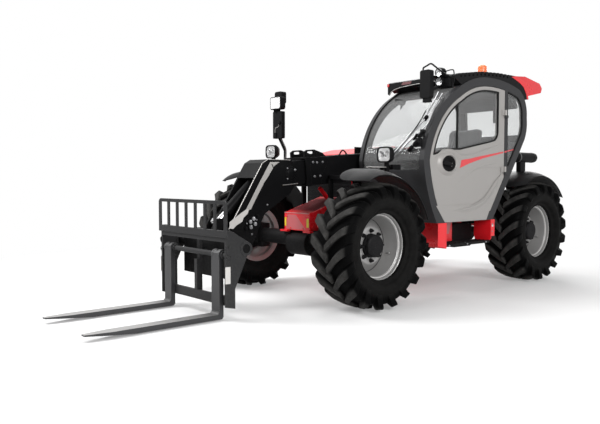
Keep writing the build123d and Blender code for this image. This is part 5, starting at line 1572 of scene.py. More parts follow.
# ------------------------------------------------------------------ boom, carriage and nose
@dataclass
class Boom:
    """Trim of the boom and its drop head: doublers, bolts, bands, strips and couplings."""

    outer_half: float = 0.16
    cheek: float = 0.15
    droop: float = 4.36
    mouth: Flat = (0.1111, 1.3116)
    pin: Flat = (0.97, 0.586)

    def along(self, s: float, t: float) -> Flat:
        """Return a place measured back from the mouth along the boom and up from its line."""
        angle = math.radians(self.droop)
        return (self.mouth[0] - s * math.cos(angle) + t * math.sin(angle),
            self.mouth[1] + s * math.sin(angle) + t * math.cos(angle))

    def build(self, shop: Workshop) -> None:
        """Build the boom's trim."""
        self.doublers(shop)
        self.hoop(shop)
        self.head_bands(shop)
        self.head_strips(shop)
        self.head_boss(shop)
        self.couplings(shop)

    def doublers(self, shop: Workshop) -> None:
        """Build the plates that carry the lifting eyes down the sides, with their bolts."""
        for side in Side:
            sign = side.value
            y = sign * self.outer_half
            outline = [self.along(s, t) for s, t in mm((62, 142.5), (325, 142.5), (300, 60), (235, -20),
                (200, -142.5), (62, -142.5))]
            plates = side_sheet(outline, y, 0.006)
            eye = [self.along(s, t) for s, t in mm((62, 143.5), (330, 143.5), (289, 182), (170, 223.5),
                (165, 151.5), (64, 151.5))]
            plates.prism([ahead(f, sign * 0.1165, z) for f, z in eye], Vector((0, sign * 0.004, 0)))
            shop.piece(f"boom_doubler_{side.name.lower()}", plates, "black_paint", body="boom", bevel=0.0015)
            bolts = Mesh()
            for f, z in mm((21, 1412), (-34, 1410), (-117, 1417), (-3, 1265), (-82, 1271)):
                bolts.hex_bolt(ahead(f, y + sign * 0.0055, z), Vector((0, sign, 0)), 0.019, 0.011)
            shop.piece(f"boom_bolts_{side.name.lower()}", bolts, "steel_bright", "chrome_rod", body="boom",
                bevel=0.001, bevel_steps=1)

    def hoop(self, shop: Workshop) -> None:
        """Build the small hoop on top of the boom and the seam strips along its edges."""
        rod = Mesh()
        path = mm((648, 143), (665, 168), (690, 190), (706, 194), (722, 190), (747, 168), (764, 143))
        rod.tube(smooth_path([ahead(f, 0, z) for f, z in (self.along(s, t) for s, t in path)], 5), 0.009, 12)
        for s in (0.648, 0.764):
            f, z = self.along(s, 0.1435)
            rod.cylinder(ahead(f, 0, z - 0.001), ahead(f, 0, z + 0.006), 0.02, 24, 0.002)
        shop.piece("boom_hoop", rod, "black_paint", body="boom")
        welds = Mesh()
        for side in Side:
            for t in (-0.1425, 0.1425):
                f0, z0 = self.along(0.075, t)
                f1, z1 = self.along(3.05, t)
                y = side.value * (self.outer_half - 0.0035)
                welds.tube([ahead(f0, y, z0), ahead(f1, y, z1)], 0.004, 10)
        shop.piece("boom_edge_welds", welds, "black_paint", body="boom")

    def head_bands(self, shop: Workshop) -> None:
        """Build the blank light band down each cheek and its white corner."""
        outer = mm((574, 1405), (655, 1285), (742, 1150), (868, 950))
        inner = mm((852, 944), (812, 945), (742, 1062), (664, 1178), (656, 1196), (600, 1262), (520, 1370),
            (454, 1407))
        white = mm((869, 948), (940, 908), (1062, 833), (1062, 772), (1018, 768), (985, 798), (915, 832),
            (900, 868), (852, 905), (836, 945))
        slot_hole = mm((560, 1388), (545, 1382), (528, 1352), (540, 1348))
        for side in Side:
            y = side.value * self.cheek
            name = side.name.lower()
            shop.piece(f"head_band_{name}", side_sheet(outer + inner, y, 0.0012), "decal_silver", "cab_grey",
                body="boom_extension")
            shop.piece(f"head_corner_{name}", side_sheet(white, y, 0.0016), "decal_white", "cab_grey",
                body="boom_extension")
            shop.piece(f"head_band_slot_{name}", side_sheet(slot_hole, y + side.value * 0.001, 0.001),
                "black_paint", body="boom_extension")

    def head_strips(self, shop: Workshop) -> None:
        """Build thin light strips along the edges of the head's plates: painted highlights, fewer on the right cheek.
        """
        edges = ([(0.31, 1.4305), (0.597, 1.4305)], [(0.603, 1.4285), (0.668, 1.393)],
            [(0.67, 1.391), (1.067, 0.767)], [(0.415, 1.176), (0.215, 1.192)])
        strips = Mesh()
        for side in Side:
            for start, end in edges[:3 if side is Side.LEFT else 1]:
                a = ahead(start[0], side.value * (self.cheek - 0.0035), start[1] - 0.002)
                b = ahead(end[0], side.value * (self.cheek - 0.0035), end[1] - 0.002)
                strips.tube([a, b], 0.0048, 10)
            start, end = edges[3]
            strips.tube([ahead(start[0], side.value * self.cheek, start[1]),
                ahead(end[0], side.value * self.cheek, end[1])], 0.0055, 10)
        shop.piece("head_ground_edges", strips, "ground_edge", "fork_grey", body="boom_extension")

    def head_boss(self, shop: Workshop) -> None:
        """Build the round boss and the small fixings on each cheek, and the pin's end plates."""
        for side in Side:
            sign = side.value
            out = Vector((0, sign, 0))
            centre = ahead(0.305, 0, 1.295)
            c = self.cheek
            mesh = Mesh()
            mesh.revolve([(c - 0.002, 0.072), (c + 0.004, 0.07), (c + 0.006, 0.062), (c + 0.006, 0.05),
                (c + 0.01, 0.046), (c + 0.012, 0.04), (c + 0.012, 0.0005), (c - 0.002, 0.0005)], centre, out, 48)
            spot = ahead(self.pin[0], 0, self.pin[1])
            mesh.revolve([(c + 0.058, 0.0345), (c + 0.0628, 0.0335), (c + 0.064, 0.03), (c + 0.064, 0.0005),
                (c + 0.058, 0.0005)], spot, out, 40)
            shop.piece(f"head_boss_{side.name.lower()}", mesh, "black_paint", body="boom_extension")
            bolts = Mesh()
            for f, z, size in mm((262, 1330, 20), (352, 1345, 14), (352, 1240, 14), (800, 706, 14), (610, 985, 14)):
                high = c + (0.0115 if size > 0.018 else 0.0)
                bolts.hex_bolt(ahead(f, sign * high, z), out, size, 0.009)
            shop.piece(f"head_bolts_{side.name.lower()}", bolts, "steel_bright", "chrome_rod",
                body="boom_extension", bevel=0.001, bevel_steps=1)

    def couplings(self, shop: Workshop) -> None:
        """Build the cluster of quick couplings on the left cheek."""
        plate = Mesh()
        outline = rounded_outline(mm((742, 795), (842, 752), (882, 842), (782, 888)), 0.014, 3)
        plate.prism([ahead(f, self.cheek, z) for f, z in outline], Vector((0, 0.012, 0)))
        shop.piece("coupling_plate", plate, "black_paint", body="boom_extension", bevel=0.002)
        parts = Mesh()
        shape = mm((0, 0.5), (0, 13), (14, 13), (15, 17.5), (34, 17.5), (36, 14.5), (42, 14.5), (43, 16), (50, 16),
            (52, 11), (52, 6.5), (44, 6), (44, 0.5))
        for f, z, lean in ((0.79, 0.862, (0.55, 1.0, -0.15)), (0.828, 0.838, (0.6, 1.0, -0.3)),
                (0.776, 0.815, (0.45, 1.0, -0.25)), (0.822, 0.792, (0.6, 1.0, -0.45))):
            base = ahead(f, self.cheek + 0.009, z)
            parts.revolve(shape, base, Vector(lean), 28)
        for f, z in ((0.752, 0.842), (0.868, 0.812)):
            parts.hex_bolt(ahead(f, self.cheek + 0.0115, z), Vector((0, 1, 0)), 0.013, 0.008)
        shop.piece("quick_couplings", parts, "steel_bright", "chrome_rod", body="boom_extension")
        caps = Mesh()
        for f, z, lean in ((0.758, 0.872, (-0.2, 1.0, 0.35)), (0.872, 0.785, (0.5, 1.0, -0.7))):
            way = Vector(lean).normalized()
            base = ahead(f, self.cheek + 0.001, z)
            caps.revolve(mm((0, 0.5), (0, 9), (22, 9), (23, 13.5), (42, 12.5), (44, 0.5)), base, way, 24)
        shop.piece("coupling_caps", caps, "black_plastic", body="boom_extension")


@dataclass
class Carriage:
    """Trim of the carriage, its backrest and the forks."""

    plate: float = 0.56
    boss: Flat = (1.17, 0.624)

    def build(self, shop: Workshop) -> None:
        """Build the carriage's trim."""
        for side in Side:
            sign = side.value
            name = side.name.lower()
            out = Vector((0, sign, 0))
            y = sign * self.plate
            fixings = Mesh()
            fixings.hex_bolt(ahead(1.365, y, 0.553), out, 0.034, 0.012)
            fixings.revolve([(self.plate - 0.001, 0.03), (self.plate + 0.003, 0.03), (self.plate + 0.0035, 0.0275),
                (self.plate - 0.001, 0.0265)], ahead(1.365, 0, 0.553), out, 32)
            fixings.cylinder(ahead(1.352, y, 0.65), ahead(1.352, y + sign * 0.006, 0.65), 0.012, 20, 0.001)
            hook = mm((1392, 628), (1397, 655), (1386, 672), (1376, 665), (1374, 640), (1366, 620), (1374, 612),
                (1385, 615))
            fixings.prism([ahead(f, y, z) for f, z in hook], out * 0.006)
            shop.piece(f"carriage_fixings_{name}", fixings, "fork_grey", body="carriage", bevel=0.0012,
                bevel_steps=1)
            label = rounded_box((1.34, 0.33), (1.394, 0.478), 0.004, 2)
            shop.piece(f"carriage_label_{name}", side_sheet(label, y, 0.0008), "decal_white", "cab_grey",
                body="carriage")
            shop.piece(f"carriage_welds_{name}", self.welds(sign), "fork_grey", body="carriage")
        self.sleeves(shop)
        self.fork_locks(shop)

    def welds(self, sign: int) -> Mesh:
        """Run weld beads where the rails meet the side plates."""
        beads = Mesh()
        inner = sign * (self.plate - 0.026)
        x = 1.355
        for z0, z1 in ((0.692, 0.788), (0.132, 0.213)):
            path = [ahead(x if z0 > 0.5 else x - 0.003, inner, z0 + (z1 - z0) * k / 24) for k in range(25)]
            wavy = [p + Vector((0.0012 * math.sin(k * 2.1), 0, 0)) for k, p in enumerate(path)]
            beads.tube(wavy, 0.005, 8)
        return beads

    def sleeves(self, shop: Workshop) -> None:
        """Build the bright collars on the fork shaft and the clips beside each fork."""
        collars = Mesh()
        shaft = ahead(1.357, 0, 0.575)
        for side in Side:
            for reach in (0.338, 0.488):
                start = Vector((shaft.x, side.value * (reach - 0.006), shaft.z))
                collars.revolve(mm((0, 24.5), (0, 34), (2, 36), (10, 36), (12, 34), (12, 24.5)), start,
                    Vector((0, 1, 0)), 36)
        shop.piece("shaft_collars", collars, "fork_grey", body="carriage")
        trim = Mesh()
        for side in Side:
            middle = side.value * 0.413
            trim.revolve(mm((-58, 44.5), (-58, 47.5), (-40, 47.5), (-38, 44.5)),
                Vector((shaft.x, middle, shaft.z)), Vector((0, 1, 0)), 36)
            trim.revolve(mm((38, 44.5), (40, 47.5), (58, 47.5), (58, 44.5)), Vector((shaft.x, middle, shaft.z)),
                Vector((0, 1, 0)), 36)
            path = [Vector((FRONT_X + 1.3985, middle - 0.058 + 0.116 * k / 20,
                0.0735 + 0.0006 * math.sin(2.3 * k))) for k in range(21)]
            trim.tube(path, 0.005, 8)
        shop.piece("fork_collars", trim, "fork_steel", "fork_grey", body="carriage")

    def fork_locks(self, shop: Workshop) -> None:
        """Build the fork locks on top of the shanks."""
        locks = Mesh()
        for side in Side:
            middle = side.value * 0.413
            locks.box(ahead(1.3565, middle - 0.02, 0.5945), ahead(1.392, middle + 0.02, 0.604))
            locks.cylinder(ahead(1.374, middle, 0.603), ahead(1.374, middle, 0.622), 0.009, 20, 0.002)
        shop.piece("fork_locks", locks, "fork_grey", body="carriage", bevel=0.002)


@dataclass
class Nose:
    """Trim of the frame's nose: gritty lid, a painted highlight along its front edge, a painted highlight patch on
    its front, labels, and bolts.
    """

    front: float = 0.1
    half_width: float = 0.2
    height: float = 0.88

    def build(self, shop: Workshop) -> None:
        """Build the nose's trim."""
        slope = (1.04 - self.height) / (0.42 + self.front)
        rise = 0.0008

        def lid(back: float, y: float) -> Vector:
            """Return a place on the lid, so far back from its front edge."""
            return ahead(self.front - back, y, self.height + back * slope + rise)
        deck = Mesh()
        outline = mm((20, -188), (20, 188), (500, 188), (500, -188))
        deck.prism([lid(b, y) for b, y in outline], Vector((0, 0, 0.0016)))
        shop.piece("nose_grip_deck", deck, "grip_deck", "red_paint", bevel=0.0006, bevel_steps=1)
        # A light rose tube along the lid's front edge: a painted highlight.
        edge = Mesh().tube([lid(-0.0005, -self.half_width + 0.004), lid(-0.0005, self.half_width - 0.004)], 0.0055,
            10)
        shop.piece("nose_edge", edge, "nose_edge", "red_paint")
        x = self.front + 0.0002
        # A lighter rose patch on the nose's front face: a painted highlight.
        patch = mm((-150, 864), (-12, 862), (142, 712), (-178, 706))
        shop.piece("nose_patch", Mesh().front_plate(x, patch, 0.001), "decal_rose", "red_paint")
        labels = Mesh()
        for low, high in (((-0.196, 0.738), (-0.17, 0.83)), ((0.156, 0.735), (0.19, 0.828))):
            corners = rounded_box((low[0], low[1]), (high[0], high[1]), 0.004, 2)
            labels.front_plate(x, corners, 0.0009)
        shop.piece("nose_labels", labels, "decal_yellow", "red_paint")
        bolts = Mesh()
        for y, z in mm((-158, 842), (145, 842), (-100, 722), (100, 722)):
            bolts.hex_bolt(ahead(self.front, y, z), Vector((1, 0, 0)), 0.014, 0.007)
        for side in Side:
            for k in range(4):
                bolts.hex_bolt(ahead(0.06 - 0.075 * k, side.value * self.half_width, 0.735),
                    Vector((0, side.value, 0)), 0.02, 0.012)
        shop.piece("nose_bolts", bolts, "red_paint", bevel=0.001, bevel_steps=1)


# ------------------------------------------------------------------ lamps, fenders, engine side and back
@dataclass
class HeadLamp:
    """A rounded headlamp with two bright bowls behind a clear lens."""

    name: str
    place: Point
    half_width: float = 0.0815
    half_height: float = 0.0685
    corner: float = 0.044

    def outline(self, x: float, gap: float) -> list[Vector]:
        """Return the lamp's rounded outline at one distance ahead, drawn in by a gap."""
        _, y, z = self.place
        w, h = (self.half_width - gap, self.half_height - gap)
        flat = rounded_box((y - w, z - h), (y + w, z + h), self.corner - gap, 8)
        return [ahead(x, a, b) for a, b in flat]

    def build(self, shop: Workshop) -> None:
        """Build the bezel, the bowls and the lens."""
        forward, y, z = self.place
        back, front = (forward + 0.0392, forward + 0.0452)
        plate = Mesh().prism(self.outline(back, 0.0005), Vector((0.0006, 0, 0)))
        out = Vector((1, 0, 0))
        for side in (-1, 1):
            middle = ahead(back, y + side * 0.0385, z)
            plate.revolve(mm((0.5, 5), (1, 15), (2.2, 27), (4, 36.5), (4.4, 37.8), (0.4, 38), (0.4, 5)), middle,
                out, 48)
            plate.cylinder(middle + out * 0.0004, middle + out * 0.005, 0.0062, 20, 0.002)
        shop.piece(f"{self.name}_bowls", plate, "reflector", "lamp_clear")
        rim = Mesh()
        rings = [self.outline(forward + d, gap) for d, gap in mm((45, 4), (47.5, 0.5), (50, -3), (50, -8.5),
            (45.5, -9.2))]
        rim.rings(rings, caps=False)
        shop.piece(f"{self.name}_bezel", rim, "black_plastic")
        dome = Mesh()
        levels = [self.outline(front + 0.0035 * (1 - (k / 6) ** 2), 0.003 + (self.half_height - 0.012)
            * (1 - k / 6)) for k in range(6, -1, -1)]
        dome.rings(levels, caps=False)
        dome.add(levels[-1], [tuple(range(len(levels[-1])))])
        shop.piece(f"{self.name}_lens", dome, "lamp_glass", "lamp_clear")
        shop.piece(f"{self.name}_shell", self.shell(), "black_plastic")

    def shell(self) -> Mesh:
        """Return a dark skin over the lamp's housing."""
        forward, _, _ = self.place
        mesh = Mesh()
        rings = []
        for d, gap in mm((45.5, -10), (9, -10), (-20, 4), (-46, 23)):
            rings.append(self.outline(forward + d, gap))
        mesh.rings(rings, caps=False)
        mesh.add(rings[-1], [tuple(range(len(rings[-1])))])
        return mesh


@dataclass
class Fender:
    """One crowned fender with a rounded nose, its rolled lip, arm and bolts."""

    end: End
    side: Side
    radius: float = 0.734
    drop: float = 0.06
    inner: float = 0.6905
    outer: float = 1.149
    thick: float = 0.007
    columns: int = 18
    steps: int = 64

    def __post_init__(self) -> None:
        """Find the wheel's middle once."""
        self.hub = centre_of(f"hub_{self.end.value}_left")

    def place(self, share: float, angle: float, sunk: float = 0.0) -> Vector:
        """Return a place on the fender.

        Args:
            share: how far across it is, 0 at the machine and 1 at the outer lip.
            angle: degrees round the wheel, 0 straight ahead.
            sunk: metres below the skin.

        Returns:
            The place.
        """
        hub = self.hub
        fall = self.drop * max(0.0, (share - 0.45) / 0.55) ** 2.4
        nose = 0.02 * max(0.0, 1 - (angle - self.nose(share)) / 14) ** 2
        radius = self.radius - fall - nose - sunk
        y = self.side.value * (self.inner + (self.outer - self.inner) * share)
        turn = math.radians(angle)
        return Vector((hub.x + radius * math.cos(turn), y, hub.z + radius * math.sin(turn)))

    def nose(self, share: float) -> float:
        """Return the angle of the front edge at one place across."""
        low, inside, outside = (61.0, 26.0, 9.0) if self.end is End.FRONT else (50.0, 14.0, 12.0)
        middle = 0.62
        if share < middle:
            return low + inside * ((middle - share) / middle) ** 2.2
        return low + outside * ((share - middle) / (1 - middle)) ** 2

    def tail(self, share: float) -> float:
        """Return the angle of the rear edge at one place across."""
        return (163.0 if self.end is End.FRONT else 146.0) - 3.0 * share ** 3

    def build(self, shop: Workshop) -> None:
        """Build the fender's skin, lip, swage, arm and bolts."""
        name = f"{self.end.value}_{self.side.name.lower()}"
        rings = []
        for k in range(self.steps + 1):
            ring = []
            for sunk, order in ((0.0, range(self.columns + 1)), (self.thick, range(self.columns, -1, -1))):
                for i in order:
                    share = i / self.columns
                    first, last = (self.nose(share), self.tail(share))
                    ring.append(self.place(share, first + (last - first) * k / self.steps, sunk))
            rings.append(ring if self.side is Side.LEFT else ring[::-1])
        skin = Mesh().rings(rings, caps=False)
        count = 2 * (self.columns + 1)
        for ring in (rings[0], rings[-1]):
            skin.add(ring, [(i, i + 1, count - 2 - i, count - 1 - i) for i in range(self.columns)])
        shop.piece(f"fender_skin_{name}", skin, "fender_skin", "black_plastic",
            replaces=[f"{self.end.value}_fenders"] if self.side is Side.LEFT else [])
        lip = Mesh()
        for share, size in ((1.0, 0.0065), (0.0, 0.005)):
            first, last = (self.nose(share), self.tail(share))
            lip.tube([self.place(share, first + (last - first) * k / 48, size * 0.8) for k in range(49)], size, 10)
        lip.tube([self.place(k / 24, self.nose(k / 24) + 0.2, 0.004) for k in range(25)], 0.0052, 10)
        shop.piece(f"fender_lip_{name}", lip, "black_plastic")
        hub = self.hub
        sign = self.side.value
        arm_x = hub.x + (-0.19 if self.end is End.FRONT else 0.03)
        top = hub.z + math.sqrt((self.radius - 0.009) ** 2 - (abs(arm_x - hub.x) + 0.03) ** 2)
        arm = Mesh()
        for y0, y1, low, high in ((0.2003, 0.228, 0.9005, top - 0.015), (0.2003, 0.71, top - 0.06, top - 0.016),
                (0.691, 0.719, top - 0.06, top - 0.001)):
            arm.box((arm_x - 0.029, min(sign * y0, sign * y1), low), (arm_x + 0.029, max(sign * y0, sign * y1),
                high))
        shop.piece(f"fender_arm_{name}", arm, "black_plastic", bevel=0.003)
        bolts = Mesh()
        middle = math.degrees(math.acos((arm_x - hub.x) / self.radius))
        for shift in (-1.6, 1.6):
            spot = self.place(0.048, middle + shift)
            bolts.hex_bolt(spot, spot - Vector((hub.x, spot.y, hub.z)), 0.017, 0.008)
        shop.piece(f"fender_bolts_{name}", bolts, "steel_bright", "chrome_rod")


@dataclass
class RightMast:
    """The right mast: mirror glass, reflector, wire and its curved arm."""

    y: float = -0.85

    def build(self, shop: Workshop) -> None:
        """Build the mast's trim."""
        glass = rounded_box((-0.927, 1.728), (-0.778, 2.032), 0.014, 4)
        panes = Mesh().front_plate(-0.3802, glass, -0.0016)
        shop.piece("right_mirror_glass", panes, "mirror_glass", "lamp_clear")
        lens = rounded_box((-0.938, 2.07), (-0.762, 2.2), 0.022, 5)
        front = Mesh().front_plate(-0.2999, lens, 0.004)
        shop.piece("mast_lamp_lens", front, "lamp_white", "lamp_clear", bevel=0.002)
        ring = Mesh()
        rings = []
        for d, grow in mm((-304, 10), (-298.5, 9.5), (-295, 5), (-295, 0.5)):
            ys = rounded_box((-0.938 - grow, 2.07 - grow), (-0.762 + grow, 2.2 + grow), 0.022 + grow, 5)
            rings.append([ahead(d, y, z) for y, z in ys])
        ring.rings(rings, caps=False)
        shop.piece("mast_lamp_rim", ring, "black_plastic")
        arm = Mesh()
        fine = mm((-445, 1345), (-446, 1450), (-450, 1560), (-444, 1605), (-420, 1648), (-395, 1690), (-372, 1735))
        arm.tube(smooth_path([ahead(f, self.y, z) for f, z in fine], 6), 0.0175, 16)
        shop.piece("mast_arm", arm, "mast_grey", "black_plastic")
        wire = Mesh()
        run = mm((-826, 1900), (-823, 1872), (-835, 1856), (-860, 1852), (-882, 1845), (-890, 1820), (-889, 1780),
            (-880, 1745))
        wire.tube(smooth_path([ahead(-0.327, y, z) for y, z in run], 6), 0.0035, 8)
        shop.piece("mast_wire", wire, "decal_silver", "cab_grey")
        boss = Mesh()
        boss.cylinder(ahead(-0.33, -0.815, 1.905), ahead(-0.316, -0.815, 1.905), 0.024, 24, 0.004)
        boss.box(ahead(-0.33, -0.905, 1.735), ahead(-0.318, -0.865, 1.79))
        boss.cylinder(ahead(-0.3, -0.885, 2.045), ahead(-0.35, -0.85, 2.045), 0.014, 20, 0.003)
        shop.piece("mast_fittings", boss, "black_plastic", bevel=0.003)


@dataclass
class Body:
    """Trim of the frame, steps, engine side, back and rear mirror."""

    tail: float = -3.63

    def build(self, shop: Workshop) -> None:
        """Build the body's trim."""
        HeadLamp("left_headlamp", (-0.35, 0.85, 1.48)).build(shop)
        HeadLamp("right_headlamp", (-0.27, -0.85, 1.56)).build(shop)
        for end in End:
            for side in Side:
                Fender(end, side).build(shop)
        RightMast().build(shop)
        self.lamp_plate(shop)
        self.step(shop)
        self.engine_side(shop)
        self.hood_front(shop)
        self.spoiler_cheek(shop)
        self.back(shop)
        self.rear_pod(shop)

    def lamp_plate(self, shop: Workshop) -> None:
        """Build the pale plate under the left headlamp and the dark junction beside it."""
        plate = Mesh()
        plate.box(ahead(-0.315, 0.8, 1.352), ahead(-0.105, 0.88, 1.358))
        shop.piece("lamp_plate", plate, "decal_white", "cab_grey", bevel=0.002)
        dark = Mesh()
        dark.box(ahead(-0.3, 0.822, 1.328), ahead(-0.28, 0.868, 1.353))
        dark.box(ahead(-0.125, 0.822, 1.326), ahead(-0.105, 0.868, 1.353))
        dark.box(ahead(-0.505, 0.835, 1.33), ahead(-0.385, 0.9, 1.382))
        dark.cylinder(ahead(-0.385, 0.868, 1.356), ahead(-0.368, 0.86, 1.372), 0.012, 16, 0.002)
        shop.piece("lamp_junction", dark, "black_plastic", bevel=0.004)

    def step(self, shop: Workshop) -> None:
        """Build the step's serrated tread, its bracket's flanges, bolts and blank label."""
        low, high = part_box("step_tread")
        teeth = Mesh()
        count = 34
        for row in range(4):
            y = low.y + 0.018 + (high.y - low.y - 0.036) * row / 3
            for k in range(count):
                x = low.x + 0.012 + (high.x - low.x - 0.024) * k / (count - 1)
                teeth.rings([[Vector((x + a * s, y + b * s, high.z - 0.0005 + h)) for a,
                    b in ((-1, -1), (1, -1), (1, 1), (-1, 1))] for s, h in ((0.0075, 0.0), (0.0035, 0.0075))])
        for y in (low.y + 0.003, high.y - 0.003):
            teeth.tube([Vector((low.x, y, high.z)), Vector((high.x, y, high.z))], 0.0045, 8)
        shop.piece("step_teeth", teeth, "black_paint", bevel=0.0008, bevel_steps=1)
        bolts = Mesh()
        for f in (-1.075, -1.395, -1.745):
            bolts.hex_bolt(ahead(f, high.y, 0.54), Vector((0, 1, 0)), 0.015, 0.009)
        for f, z in ((-1.846, 0.655), (-1.846, 0.735)):
            bolts.hex_bolt(ahead(f, 1.1, z), Vector((0, 1, 0)), 0.013, 0.008)
        shop.piece("step_bolts", bolts, "steel_bright", "chrome_rod", bevel=0.001, bevel_steps=1)
        front = Mesh()
        front.box(ahead(-1.0065, 1.094, 0.515), ahead(-0.99, 1.0998, 0.785))
        front.prism([ahead(f, 1.0945, z) for f, z in mm((-1006.5, 516), (-862, 545), (-862, 784), (-1006.5, 784))],
            Vector((0, 0.005, 0)))
        shop.piece("step_front_shield", front, "red_paint", bevel=0.0015)
        label = rounded_box((-1.838, 0.706), (-1.872, 0.728), 0.002, 2)
        shop.piece("step_label", side_sheet(label, 1.1002, 0.0007), "decal_white", "cab_grey")
        wall = mm((-1012, 560), (-1385, 560), (-1385, 775), (-1012, 775))
        shop.piece("step_back_wall", side_sheet(wall, 0.884, 0.008), "red_paint", bevel=0.002)
        # A lighter rose patch on the wall behind the step: a painted highlight.
        panel = mm((-1090, 640), (-1330, 640), (-1360, 760), (-1050, 765))
        shop.piece("step_wall_patch", side_sheet(panel, 0.892, 0.001), "decal_rose", "red_paint")

    def engine_side(self, shop: Workshop) -> None:
        """Build the hood's grille, latches, seam and exhaust outlet."""
        mesh = Mesh()
        for k in range(13):
            x0 = FRONT_X - 1.89 + k * 0.06
            mesh.tube([Vector((x0, -1.0085, 0.96)), Vector((x0, -1.0085, 1.275))], 0.0025, 8)
        for k in range(6):
            z = 0.985 + k * 0.054
            mesh.tube([Vector((FRONT_X - 1.9, -1.007, z)), Vector((FRONT_X - 1.165, -1.007, z))], 0.0025, 8)
        shop.piece("hood_mesh", mesh, "black_paint", body="engine_hood")
        frame_strip = Mesh()
        corners = rounded_box((-1.905, 0.95), (-1.16, 1.29), 0.03, 5)
        outline = [ahead(f, 0, z) for f, z in corners]
        strip = strip_frame(outline, 0.014, 0.004, -1.0206, -1.019)
        frame_strip.add(strip.points, strip.faces)
        shop.piece("hood_vent_frame", frame_strip, "black_plastic", body="engine_hood")
        latch = Mesh()
        for f in (-1.1, -1.98):
            latch.cylinder(ahead(f, -1.017, 0.86), ahead(f, -1.02, 0.86), 0.026, 32, 0.001)
            latch.box(ahead(f - 0.006, -1.0202, 0.842), ahead(f + 0.006, -1.0188, 0.878))
        shop.piece("hood_latches", latch, "black_plastic", body="engine_hood", bevel=0.0006)
        ribs = Mesh()
        for k in range(7):
            z = 0.7 + 0.085 * k
            ribs.box(ahead(-1.895, -0.8845, z), ahead(-1.185, -0.8795, z + 0.035))
        ribs.cylinder(ahead(-1.35, -0.62, 1.329), ahead(-1.35, -0.62, 1.42), 0.075, 40, 0.01)
        ribs.cylinder(ahead(-1.7, -0.55, 1.329), ahead(-1.7, -0.55, 1.4), 0.055, 40, 0.01)
        ribs.cylinder(ahead(-1.2, -0.5, 1.365), ahead(-1.88, -0.5, 1.365), 0.04, 32, 0.006)
        shop.piece("engine_ribs", ribs, "steel_dark", bevel=0.004)

    def hood_front(self, shop: Workshop) -> None:
        """Build the dark grille over the front of the engine bay and the tail's red cheeks."""
        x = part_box("engine_hood")[1].x
        wide = rounded_outline(mm((-238, 806), (-1019.5, 806), (-1019.5, 1300), (-900, 1385), (-238, 1385)), 0.008,
            3)
        panel = Mesh().prism([Vector((x, y, z)) for y, z in wide], Vector((0.004, 0, 0)))
        shop.piece("hood_front_panel", panel, "black_plastic", body="engine_hood", bevel=0.001)
        slats = Mesh()
        for k in range(12):
            z = 0.85 + 0.042 * k
            slats.prism([Vector((x + 0.0038, y, z + h)) for y, h in mm((-270, 0), (-960, 0), (-960, 18),
                (-270, 18))], Vector((0.006, 0, 0.004)))
        shop.piece("hood_front_slats", slats, "black_paint", body="engine_hood", bevel=0.001)

    def spoiler_cheek(self, shop: Workshop) -> None:
        """Build the red skin that carries the spoiler down over the roof's rear corner."""
        outline = mm((-2205, 2408), (-2300, 2427), (-2522, 2371.5), (-2583, 2182), (-2548, 2176), (-2530, 2240),
            (-2470, 2312), (-2395, 2352), (-2300, 2382))
        for side, y in ((1, 1.0958), (-1, 0.1682)):
            skin = Mesh().prism([ahead(f, y, z) for f, z in outline], Vector((0, side * 0.0022, 0)))
            shop.piece(f"spoiler_cheek_{('left' if side > 0 else 'right')}", skin, "red_paint", bevel=0.0008)

    def back(self, shop: Workshop) -> None:
        """Build the rear lamps, the plate holder and the counterweight's fixings."""
        up = Vector((0.07, 0, 0.11)).normalized()
        across = Vector((0, 1, 0))
        normal = Vector((-0.11, 0, 0.07)).normalized()
        for side in Side:
            middle = ahead(self.tail + 0.035, side.value * 0.3, 0.995)
            for number, (shift, finish) in enumerate(((-0.042, "lamp_red"), (0.042, "lamp_amber"))):
                flat = rounded_box((-0.036, -0.03), (0.036, 0.03), 0.01, 4)
                base = [middle + across * (shift + a) + up * b - normal * 0.002 for a, b in flat]
                shop.piece(f"rear_lamp_{side.name.lower()}_{number + 1}", Mesh().prism(base, normal * 0.012),
                    finish, "beacon_orange", bevel=0.003)
            holder = rounded_box((-0.09, -0.041), (0.09, 0.041), 0.012, 4)
            base = [middle + across * a + up * b - normal * 0.001 for a, b in holder]
            shop.piece(f"rear_lamp_tray_{side.name.lower()}", Mesh().prism(base, normal * 0.005), "black_plastic",
                bevel=0.002)
        plate = rounded_box((-0.13, 0.845), (0.13, 0.915), 0.006, 3)
        shop.piece("rear_plate", Mesh().prism([Vector((FRONT_X + self.tail, y, z)) for y, z in plate],
            Vector((0.0008, 0, 0))), "decal_white", "cab_grey")
        bolts = Mesh()
        for side in Side:
            for z in (0.6, 0.88):
                bolts.hex_bolt(ahead(self.tail + 0.12, side.value * 0.4, z), Vector((0, side.value, 0)), 0.036,
                    0.018)
        shop.piece("counterweight_bolts", bolts, "steel_bright", "chrome_rod", bevel=0.0015)

    def rear_pod(self, shop: Workshop) -> None:
        """Build the light ring and cap of the left rear pod."""
        centre = ahead(-2.98, 0.915, 1.505)
        out = Vector((1, 0, 0))
        shell = mm((315, 63), (318, 63.8), (333, 63.8), (336, 63))
        ring = Mesh().revolve(shell, centre, out, 56)
        shop.piece("rear_pod_ring", ring, "mast_grey", "black_plastic")
        cap = mm((2, 62), (-20, 62.5), (-52, 58.5), (-78, 45), (-92, 24), (-96, 0.5), (2, 0.5))
        tail = Mesh().revolve([(0.03, 0.0626), (-0.01, 0.0632)] + cap[1:-1] + [(0.03, 0.0005)], centre, out, 56)
        tail.box(ahead(-2.8, 0.885, 1.325), ahead(-2.69, 0.945, 1.455))
        shop.piece("rear_pod_cap", tail, "black_plastic", bevel=0.002, bevel_steps=1)


